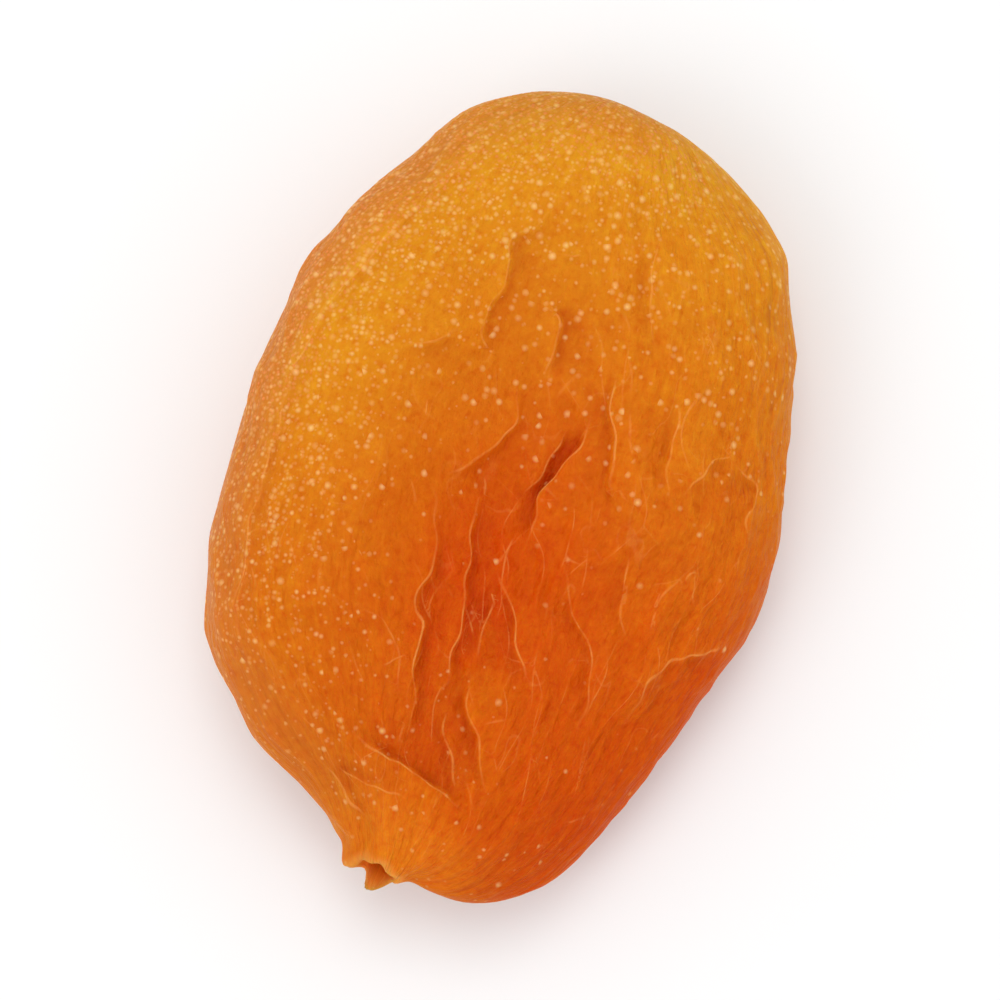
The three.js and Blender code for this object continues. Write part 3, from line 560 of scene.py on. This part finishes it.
def skin_form(direction, length, width, wrinkle):
    """Places of the skin, in millimetres, the values that its material reads, and the flow of its lines."""
    for gathering in GATHERS:
        direction = gather(direction, *gathering)
    point, normal, place = body(direction, length, width)
    x, y, zeta = point[:, 0], point[:, 1], place["zeta"]
    on_top = smoothstep(zeta, *ON_FACE)
    on_under = smoothstep(-zeta, *ON_FACE)
    near_top = smoothstep(zeta, *NEAR_TOP)
    wander_x = WANDER["height"] * waves(point, WANDER["length"], 4, 0.3)
    wander_y = WANDER["height"] * waves(point, WANDER["length"], 4, 1.9)
    drawn = TOP_FOLDS + tuple((name, path, *THIN_FOLD) for name, path in THIN_FOLDS)
    laid = [(name, np.array(path) * PLAN_SCALE + PLAN_AT, *form) for name, path, *form in drawn]
    top, top_hollow, behind, top_near, top_off = folds(laid, x + wander_x, y + wander_y)
    under, under_hollow, _behind, under_near, under_off = folds(UNDER_FOLDS, x + wander_x, y + wander_y)

    skin = point.copy()
    skin[:, :2] += on_top[:, None] * top[:, :2] + on_under[:, None] * under[:, :2]
    skin[:, 2] += on_top * lumps(TOP_LUMPS, x, y) + near_top * top[:, 2]
    skin[:, 2] += on_under * (lumps(UNDER_LUMPS, x, y) - under[:, 2])
    height, wrinkle_values = relief(point, place, wrinkle)
    rest_x, rest_y = (x - REST_AT[0]) / REST_HALF[0], (y - REST_AT[1]) / REST_HALF[1]
    resting = on_under * bell(rest_x ** 2 + rest_y ** 2)
    skin += normal * ((1 - resting) * height + resting * REST_DEPTH)[:, None]
    push, mouth_values = mouth(point)
    skin += np.outer(push, MOUTH_OUT)
    skin[:, 2] = np.maximum(skin[:, 2], 0)

    values = {
        # hollow, behind and before carry painted shade and light; fold_near and fold_off carry the painted
        # crest highlights
        "hollow": near_top * top_hollow + on_under * under_hollow,
        "behind": near_top * np.maximum(behind, 0),
        "before": near_top * np.maximum(-behind, 0),
        "fold_near": near_top * top_near + on_under * under_near,
        "fold_off": np.where(zeta > 0, top_off, under_off),
        **wrinkle_values,
        **mouth_values,
        **colour_values(x, y, place, length / width),
    }
    turn = place["around"] * 2 * math.pi / SECTION
    radius = SECTION / (2 * math.pi)
    flow = np.stack((radius * np.cos(turn), radius * np.sin(turn), y), axis=1)
    return skin, values, flow


def colour_values(x, y, place, slimness):
    """How golden, pored, grainy and steep the skin is at each point."""
    rho, steep = place["rho"], place["steep"]
    upper = UNDER_SHARE + (1 - UNDER_SHARE) * smoothstep(place["zeta"], -0.3, 0.6)
    pale_side = smoothstep(np.cos(np.arctan2(y, x * slimness) - PALE_SIDE), *PALE_SIDE_FADE)
    pores, fine_pores = pore_shares(x, y, rho, steep * upper)
    return {
        "pale": paleness(x, y),
        "wall": steep ** 2 * smoothstep(rho, *WALL_BAND),
        "pores": pores,
        "fine_pores": fine_pores,
        "crepe": pale_side * smoothstep(rho, *CREPE_BAND) * upper,
    }


def paleness(x, y):
    """How golden the skin is: most at the crown, least at the stem end's right and in the middle; partly its
    own colour, partly painted light to the upper left and at the crown rim and painted shade in the sunken
    middle.
    """
    along_axis = PALE_AXIS[0] * x + PALE_AXIS[1] * y
    across_axis = PALE_AXIS[0] * y - PALE_AXIS[1] * x
    plain = PALE_MIDDLE + PALE_SLOPE[0] * x + PALE_SLOPE[1] * y + PALE_TWIST * along_axis * across_axis
    return np.clip(plain + lumps(PALE_PATCHES, x, y), 0, 1)


def pore_shares(x, y, rho, steep):
    """How thickly the large and the fine pale pores stand: closest inside the steep side, and fewest to
    the lower right."""
    beside = steep ** 1.5 * smoothstep(rho, 0.35, 0.85) * (0.35 + 0.65 * smoothstep(y, -14, -6))
    crown = smoothstep(-0.3 * x + 0.95 * y, -7, 13) * (1 - 0.6 * beside)
    return [everywhere + by_side * beside + by_crown * crown
            for everywhere, by_side, by_crown in (PORES, FINE_PORES)]


# ---------------------------------------------------------------- material

def add(nodes, kind, **settings):
    """A new node, with its settings."""
    node = nodes.new(kind)
    for name, value in settings.items():
        setattr(node, name, value)
    return node


class Shades:
    """Adds the nodes of one material and joins them. Sizes of patterns are in millimetres."""

    def __init__(self, tree):
        self.nodes = tree.nodes
        self.links = tree.links
        self.place = add(self.nodes, "ShaderNodeTexCoord").outputs["Object"]
        self.flow = add(self.nodes, "ShaderNodeAttribute", attribute_name="flow").outputs["Vector"]

    def join(self, socket, value):
        """Gives a socket another node's output, a number, or the parts of a vector or a colour."""
        if isinstance(value, bpy.types.NodeSocket):
            self.links.new(value, socket)
        elif isinstance(value, (int, float)):
            socket.default_value = value
        else:
            socket.default_value = (*value, 1)[:len(socket.default_value)]

    def node(self, kind, inputs, **settings):
        """A new node, with its settings and what its inputs get."""
        node = add(self.nodes, kind, **settings)
        for name, value in inputs.items():
            self.join(node.inputs[name], value)
        return node

    def attribute(self, name):
        return add(self.nodes, "ShaderNodeAttribute", attribute_name=name).outputs["Fac"]

    def compute(self, operation, *values, clamp=False):
        inputs = dict(enumerate(values))
        return self.node("ShaderNodeMath", inputs, operation=operation, use_clamp=clamp).outputs[0]

    def compute_vector(self, operation, a, b):
        return self.node("ShaderNodeVectorMath", {0: a, 1: b}, operation=operation).outputs[0]

    def times(self, *factors):
        result = factors[0]
        for factor in factors[1:]:
            result = self.compute("MULTIPLY", result, factor)
        return result

    def mix(self, factor, a, b, blend="MIX"):
        """A mix of two colours; inputs 6 and 7 and output 2 are the node's sockets for colours."""
        inputs = {0: factor, 6: a, 7: b}
        return self.node("ShaderNodeMix", inputs, data_type="RGBA", blend_type=blend).outputs[2]

    def ramp(self, value, low, high):
        """A smooth rise from 0 at low to 1 at high, or a fall where low is the larger."""
        rises = low < high
        return self.node("ShaderNodeMapRange", {
            "Value": value,
            "From Min": min(low, high),
            "From Max": max(low, high),
            "To Min": 0 if rises else 1,
            "To Max": 1 if rises else 0,
        }, interpolation_type="SMOOTHSTEP").outputs["Result"]

    def noise(self, vector, size, detail=3.0, roughness=0.5, output="Fac"):
        """Noise whose lumps are of that size along each axis."""
        scale = [1 / (s * MM) for s in size]
        stretched = self.node("ShaderNodeMapping", {"Vector": vector, "Scale": scale}).outputs[0]
        return self.node("ShaderNodeTexNoise", {
            "Vector": stretched,
            "Scale": 1,
            "Detail": detail,
            "Roughness": roughness,
        }).outputs[output]

    def pulled(self, vector, size, strength):
        """The vector, pulled about by noise."""
        pull = self.noise(vector, size, detail=2.0, output="Color")
        pull = self.compute_vector("SUBTRACT", pull, (0.5, 0.5, 0.5))
        pull = self.compute_vector("MULTIPLY", pull, [s * MM for s in strength])
        return self.compute_vector("ADD", vector, pull)

    def crease(self, vector, size, shift):
        """Distance from the bent lines where a noise crosses its middle."""
        moved = self.compute_vector("ADD", vector, [s * MM for s in shift])
        middle = self.compute("SUBTRACT", self.noise(moved, size, detail=2.0, roughness=0.4), 0.5)
        return self.compute("ABSOLUTE", middle)

    def crest_highlight_line(self, name, width):
        """Thin painted highlight lines along the crests that have that name."""
        off = self.compute("ABSOLUTE", self.attribute(name + "_off"))
        return self.times(self.attribute(name + "_near"), self.ramp(off, width, width * 0.2))

    def spots(self, spacing, share, narrow, wide, soft):
        """Round spots in that share of the cells, each of its own size and strength. Their radii and
        their soft edge are shares of the spacing."""
        cells = self.node("ShaderNodeTexVoronoi", {"Vector": self.place, "Scale": 1 / spacing})
        own = self.node("ShaderNodeSeparateColor", {0: cells.outputs["Color"]}).outputs
        radius = self.compute("ADD", self.times(own[1], wide - narrow), narrow)
        inside = self.compute("SUBTRACT", radius, cells.outputs["Distance"])
        inside = self.compute("DIVIDE", inside, soft, clamp=True)
        strength = self.compute("ADD", self.times(own[2], 0.65), 0.35)
        return self.times(inside, self.compute("LESS_THAN", own[0], share), strength)


def skin_marks(shades, spacing):
    """Masks of the marks on the skin, and how loose it is: tight skin has fewer of them."""
    loose = shades.compute("SUBTRACT", 1.0, shades.times(shades.attribute("tight"), 0.7))
    frayed = shades.pulled(shades.flow, (0.8, 0.8, 1.6), (0.12, 0.12, 0.3))

    # painted highlights: thin pale lines along the crests, broken or fainter here and there
    unbroken = shades.ramp(shades.noise(shades.flow, (1.1, 1.1, 2.2)), 0.42, 0.62)
    faint_or_full = shades.compute("ADD", shades.times(unbroken, 0.65), 0.35)
    fold_highlights = shades.times(shades.crest_highlight_line("fold", 0.09), faint_or_full)
    broad_highlights = shades.times(shades.crest_highlight_line("broad", 0.075), unbroken, 0.5)
    close_highlights = shades.times(shades.crest_highlight_line("close", 0.065), unbroken, 0.35)
    lines = shades.compute("MAXIMUM", shades.compute("MAXIMUM", fold_highlights, broad_highlights), close_highlights)

    # creases of the crumpled skin, from the widest to the finest
    ridges = shades.crease(frayed, (2.6, 2.6, 4.4), (0.0, 0.0, 0.0))
    valleys = shades.crease(frayed, (2.0, 2.0, 3.4), (31.0, 17.0, 9.0))
    small_valleys = shades.crease(frayed, (1.0, 1.0, 1.5), (-23.0, 41.0, 5.0))
    fine_ridges = shades.crease(frayed, (0.5, 0.5, 0.9), (13.0, -27.0, 33.0))
    crumple = shades.compute("ADD", valleys, shades.times(small_valleys, 0.7))
    crumple = shades.compute("SUBTRACT", crumple, shades.times(fine_ridges, 0.45))
    crumple = shades.compute("SUBTRACT", crumple, ridges)

    # pale pores, large and fine, and the grain of the steep side
    pores = shades.spots(spacing, shades.attribute("pores"), narrow=0.28, wide=0.58, soft=0.52)
    fine = shades.spots(spacing * 0.66, shades.attribute("fine_pores"), narrow=0.28, wide=0.58, soft=0.5)
    return {
        "loose": loose,
        "lines": lines,
        "crease highlights": shades.times(shades.ramp(ridges, 0.012, 0.002), unbroken, loose),
        "valleys": valleys,
        "crumple": crumple,
        "streaks": shades.noise(frayed, (0.32, 0.32, 1.8), roughness=0.55),
        "mottle": shades.noise(shades.place, (0.45, 0.45, 0.45), detail=4.0, roughness=0.6),
        "grain": shades.noise(frayed, (0.16, 0.16, 0.3), roughness=0.6),
        "crepe": shades.spots(spacing * 0.52, shades.attribute("crepe"), narrow=0.4, wide=0.62, soft=0.3),
        "pores": shades.compute("MAXIMUM", pores, shades.times(fine, 0.8)),
    }


def skin_colour(shades, marks, look):
    """The colour of the skin: the flesh that shines through it, its light and dark marks, many of them
    painted light and shade, and its spots.
    """
    blotches = shades.noise(shades.place, (6.0, 6.0, 6.0))
    colour = shades.mix(shades.attribute("pale"), look.stem_colour, look.crown_colour)
    for mask, strength, over in (
        (shades.ramp(blotches, 0.45, 0.75), 0.3, look.mid_colour),
        # darker, redder skin down in the folds: partly its own deeper red, partly painted shade
        (shades.ramp(shades.attribute("hollow"), 0.02, 0.3), 0.7, look.hollow_colour_and_shade),
        (shades.attribute("neck"), 0.6, look.neck_colour_and_light),
    # golden skin round the mouth: partly its own paler colour, partly painted light
    ):
        colour = shades.mix(shades.times(mask, strength), colour, over)

    loose, streaks, mottle = marks["loose"], marks["streaks"], marks["mottle"]
    for mask, strength, tint in (
        # painted shade between the wrinkles, where the ridges are low
        (shades.times(shades.ramp(shades.attribute("ridges"), 0.12, 0.02), loose), 0.3, look.deep_tint_and_shade),
        # painted shade on the low side of each fold, and painted light on its raised side
        (shades.attribute("behind"), 0.65, look.deep_tint_and_shade),
        (shades.attribute("before"), 0.4, look.pale_tint_and_light),
        (shades.times(shades.ramp(streaks, 0.48, 0.72), loose), 0.6, look.pale_tint_and_light),
        (shades.times(shades.ramp(streaks, 0.50, 0.30), loose), 0.4, look.deep_tint_and_shade),
        (shades.ramp(mottle, 0.5, 0.72), 0.8, look.deep_tint_and_shade),
        (shades.ramp(mottle, 0.5, 0.28), 0.7, look.pale_tint_and_light),
        # painted shade along the valleys of the creases
        (shades.times(shades.ramp(marks["valleys"], 0.03, 0.0), loose), 0.35, look.deep_tint_and_shade),
    ):
        colour = shades.mix(shades.times(mask, strength), colour, tint, "MULTIPLY")

    crepe = shades.times(marks["crepe"], shades.ramp(shades.attribute("crepe"), 0.0, 0.8))
    for mask, strength, over in (
        # the steep side's duller, darker colour: partly its own tone, partly painted sheen and shade
        (shades.attribute("wall"), 0.75, look.wall_tone_sheen_and_shade),
        # painted highlights along the crests of the creases and the folds
        (marks["crease highlights"], 0.12, look.crest_highlight_colour),
        (marks["lines"], 0.6, look.crest_highlight_colour),
        (shades.ramp(shades.attribute("lip"), 0.5, 1.0), 0.75, look.lip_colour),
        (shades.attribute("pit"), 0.9, look.pit_colour),
        (crepe, 0.8, look.crepe_colour),
        (marks["pores"], 0.85, look.pore_colour),
    ):
        colour = shades.mix(shades.times(mask, strength), colour, over)
    return colour


def skin_bump(shades, marks):
    """The finest relief of the skin, which its faces are too large for."""
    loose = marks["loose"]
    height = shades.times(marks["lines"], 0.7)
    for mask in (
        shades.times(marks["streaks"], loose, 0.8),
        shades.times(marks["crumple"], loose, 9.0),
        shades.times(marks["mottle"], 1.2),
        shades.times(marks["grain"], 1.3),
        shades.times(marks["crepe"], shades.attribute("crepe"), 0.6),
        shades.times(marks["pores"], 0.6),
    ):
        height = shades.compute("ADD", height, mask)
    inputs = {"Height": height, "Distance": 0.08 * MM, "Strength": 0.9}
    return shades.node("ShaderNodeBump", inputs).outputs[0]


def skin_material(look):
    material = bpy.data.materials.new(SLOT)
    material.use_nodes = True
    shades = Shades(material.node_tree)
    marks = skin_marks(shades, look.pore_spacing)
    for name, value in (
        ("Base Color", skin_colour(shades, marks, look)),
        ("Normal", skin_bump(shades, marks)),
        ("Roughness", 0.45),
        ("Specular IOR Level", 0.05),
        ("Subsurface Weight", 0.6),
        ("Subsurface Radius", (1.0, 0.30, 0.08)),
        ("Subsurface Scale", 1.8 * MM),
    ):
        shades.join(shades.nodes["Principled BSDF"].inputs[name], value)
    return material


# ---------------------------------------------------------------- properties

def colour_property(name, description, default):
    return bpy.props.FloatVectorProperty(
        name=name, description=description, subtype="COLOR", size=3, min=0, max=2, default=default)


class FruitProperties(bpy.types.PropertyGroup):
    """Sizes and colours of the fruit"""

    length: bpy.props.FloatProperty(
        name="Length", description="Length of the plain body", default=42.0 * MM, unit="LENGTH")
    width: bpy.props.FloatProperty(
        name="Width", description="Width of the plain body", default=28.2 * MM, unit="LENGTH")
    wrinkle: bpy.props.FloatProperty(
        name="Wrinkles", description="Strength of the wrinkles", default=1.0, min=0, max=3,
        subtype="FACTOR")
    pore_spacing: bpy.props.FloatProperty(
        name="Pore Spacing", description="Distance between pores", default=0.42 * MM, unit="LENGTH")
    crown_colour: colour_property("Crown", "Skin at the crown", (0.77, 0.345, 0.012))
    stem_colour: colour_property("Stem End", "Skin at the stem end", (0.66, 0.080, 0.0003))
    mid_colour: colour_property("Blotches", "Deeper blotches of the skin", (0.70, 0.19, 0.003))
    # partly the skin's own deeper red in the folds, partly painted shade there
    hollow_colour_and_shade: colour_property("Folds", "Skin down in the folds", (0.54, 0.046, 0.0002))
    # partly the neck's own golden colour, partly painted light
    neck_colour_and_light: colour_property("Neck", "Skin that runs up to the mouth", (1.05, 0.32, 0.008))
    # painted shade on the low side of folds, between wrinkles and along crease valleys, and the skin's own
    # deeper streaks and mottle
    deep_tint_and_shade: colour_property("Deep Tint", "How far the deep side of a fold is darkened", (0.94, 0.74, 0.45))
    # painted light on the raised side of folds, and the skin's own paler streaks and mottle
    pale_tint_and_light: colour_property("Pale Tint", "How far the raised side of a fold is paled", (1.06, 1.25, 1.3))
    # partly the steep side's own duller tone, partly painted sheen and shade
    wall_tone_sheen_and_shade: colour_property("Wall", "Skin of the steep side", (0.60, 0.160, 0.030))
    crepe_colour: colour_property("Crepe", "Pale grain of the steep side", (0.84, 0.29, 0.080))
    # a painted highlight along the crests, not a colour of the skin there
    crest_highlight_colour: colour_property("Crests", "Thin skin on the crests of the folds", (0.95, 0.41, 0.100))
    lip_colour: colour_property("Lips", "Torn skin round the mouth", (1.00, 0.34, 0.060))
    pit_colour: colour_property("Mouth", "Flesh inside the mouth", (0.78, 0.14, 0.004))
    pore_colour: colour_property("Pores", "Pale pores", (1.00, 0.66, 0.26))


class StageProperties(bpy.types.PropertyGroup):
    """Floor, light and view"""

    floor_size: bpy.props.FloatProperty(
        name="Floor", description="Width of the floor", default=4.0, unit="LENGTH")
    key_power: bpy.props.FloatProperty(
        name="Key Light", description="Power of the key light", default=0.49, min=0, unit="POWER")
    fill_power: bpy.props.FloatProperty(
        name="Fill Light", description="Power of the light by the stem", default=0.35, min=0, unit="POWER")
    sky: bpy.props.FloatProperty(
        name="Sky", description="Strength of the light from all round", default=0.85, min=0)
    azimuth: bpy.props.FloatProperty(
        name="Azimuth", description="Turn of the camera round the fruit", default=math.radians(16.6),
        subtype="ANGLE")
    elevation: bpy.props.FloatProperty(
        name="Elevation", description="Height of the camera over the ground", default=math.radians(82),
        subtype="ANGLE")
    aim: bpy.props.FloatVectorProperty(
        name="Aim", description="Place on the ground plan that the camera looks at", size=2,
        default=(-0.38 * MM, -0.52 * MM), unit="LENGTH")
    frame_width: bpy.props.FloatProperty(
        name="View Width", description="Width of what the camera sees", default=50.8 * MM, unit="LENGTH")


# ---------------------------------------------------------------- operators

class APRICOT_OT_fruit(bpy.types.Operator):
    """Model the fruit's skin and give it its material"""

    bl_idname = "apricot.fruit"
    bl_label = "Fruit"

    def execute(self, context):
        look = context.scene.apricot_fruit
        # a finely cut cube, whose corners and cuts give the directions of a ball's points
        bm = bmesh.new()
        bmesh.ops.create_cube(bm, size=2)
        bmesh.ops.subdivide_edges(bm, edges=bm.edges[:], cuts=CUTS, use_grid_fill=True)
        mesh = bpy.data.meshes.new(PIECE)
        bm.to_mesh(mesh)
        bm.free()
        cube = np.zeros(3 * len(mesh.vertices))
        mesh.vertices.foreach_get("co", cube)
        direction = np.tan(cube.reshape(-1, 3) * math.pi / 4)
        direction /= np.linalg.norm(direction, axis=1)[:, None]
        skin, values, flow = skin_form(direction, look.length / MM, look.width / MM, look.wrinkle)
        skin *= MM

        # the skin is laid exactly in the solid's box
        low, high = (np.array(corner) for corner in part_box(NODE))
        skin = low + (skin - skin.min(0)) / np.ptp(skin, axis=0) * (high - low)
        mesh.vertices.foreach_set("co", skin.ravel())
        for name, value in values.items():
            mesh.attributes.new(name, "FLOAT", "POINT").data.foreach_set("value", value)
        mesh.attributes.new("flow", "FLOAT_VECTOR", "POINT").data.foreach_set("vector", (flow * MM).ravel())
        mesh.shade_smooth()
        mesh.update()
        fruit = bpy.data.objects.new(PIECE, mesh)
        context.scene.collection.objects.link(fruit)
        mesh.materials.append(skin_material(look))
        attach(fruit, "root")
        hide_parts(NODE)
        return {"FINISHED"}


class APRICOT_OT_stage(bpy.types.Operator):
    """Set the floor, the lights and the camera"""

    bl_idname = "apricot.stage"
    bl_label = "Stage"

    def execute(self, context):
        stage = context.scene.apricot_stage
        bm = bmesh.new()
        bmesh.ops.create_grid(bm, x_segments=1, y_segments=1, size=stage.floor_size / 2)
        mesh = bpy.data.meshes.new("floor")
        bm.to_mesh(mesh)
        bm.free()
        floor = bpy.data.objects.new("floor", mesh)
        context.scene.collection.objects.link(floor)
        white = bpy.data.materials.new("floor_white")
        white.use_nodes = True
        paint = white.node_tree.nodes["Principled BSDF"]
        paint.inputs["Base Color"].default_value = (FLOOR_WHITE, FLOOR_WHITE, FLOOR_WHITE, 1)
        paint.inputs["Roughness"].default_value = 0.8
        mesh.materials.append(white)

        # a white room, which the camera sees in the tone of the floor
        world = bpy.data.worlds.new("studio")
        world.use_nodes = True
        nodes, links = world.node_tree.nodes, world.node_tree.links
        lit = nodes["Background"]
        lit.inputs["Color"].default_value = (1, 1, 1, 1)
        lit.inputs["Strength"].default_value = stage.sky
        seen = add(nodes, "ShaderNodeBackground")
        seen.inputs["Color"].default_value = (1, 1, 1, 1)
        seen.inputs["Strength"].default_value = stage.sky * FLOOR_WHITE
        choose = add(nodes, "ShaderNodeMixShader")
        links.new(add(nodes, "ShaderNodeLightPath").outputs["Is Camera Ray"], choose.inputs[0])
        links.new(lit.outputs[0], choose.inputs[1])
        links.new(seen.outputs[0], choose.inputs[2])
        links.new(choose.outputs[0], nodes["World Output"].inputs["Surface"])
        context.scene.world = world

        aim = Vector((*stage.aim, AIM_HEIGHT))
        for name, place, power in (("key", KEY_AT, stage.key_power), ("fill", FILL_AT, stage.fill_power)):
            light = bpy.data.lights.new(name, "AREA")
            light.size = LAMP_SIZE
            light.energy = power
            lamp = bpy.data.objects.new(name, light)
            lamp.location = place
            lamp.rotation_euler = (aim - lamp.location).to_track_quat("-Z", "Y").to_euler()
            context.scene.collection.objects.link(lamp)

        camera = bpy.data.cameras.new("camera")
        camera.lens = LENS
        camera.clip_start = 1 * MM
        eye = bpy.data.objects.new("camera", camera)
        flat = math.cos(stage.elevation)
        back = Vector((math.sin(stage.azimuth) * flat, -math.cos(stage.azimuth) * flat,
                       math.sin(stage.elevation)))
        eye.location = aim + back * stage.frame_width * camera.lens / camera.sensor_width
        eye.rotation_euler = (-back).to_track_quat("-Z", "Y").to_euler()
        context.scene.collection.objects.link(eye)
        context.scene.camera = eye
        context.scene.view_settings.view_transform = "Standard"
        return {"FINISHED"}


class APRICOT_PT_sidebar(bpy.types.Panel):
    bl_label = "Dried Apricot"
    bl_idname = "APRICOT_PT_sidebar"
    bl_space_type = "VIEW_3D"
    bl_region_type = "UI"
    bl_category = "Apricot"

    def draw(self, context):
        layout = self.layout
        for settings, operator in (
            (context.scene.apricot_fruit, APRICOT_OT_fruit),
            (context.scene.apricot_stage, APRICOT_OT_stage),
        ):
            box = layout.box()
            for name in settings.bl_rna.properties.keys():
                if name not in ("rna_type", "name"):
                    box.prop(settings, name)
            box.operator(operator.bl_idname)


CLASSES = (FruitProperties, StageProperties, APRICOT_OT_fruit, APRICOT_OT_stage, APRICOT_PT_sidebar)


def register():
    for cls in CLASSES:
        bpy.utils.register_class(cls)
    bpy.types.Scene.apricot_fruit = bpy.props.PointerProperty(type=FruitProperties)
    bpy.types.Scene.apricot_stage = bpy.props.PointerProperty(type=StageProperties)


def unregister():
    del bpy.types.Scene.apricot_stage
    del bpy.types.Scene.apricot_fruit
    for cls in reversed(CLASSES):
        bpy.utils.unregister_class(cls)


def main():
    register()
    bpy.ops.apricot.fruit()
    bpy.ops.apricot.stage()


if __name__ == "__main__":
    main()
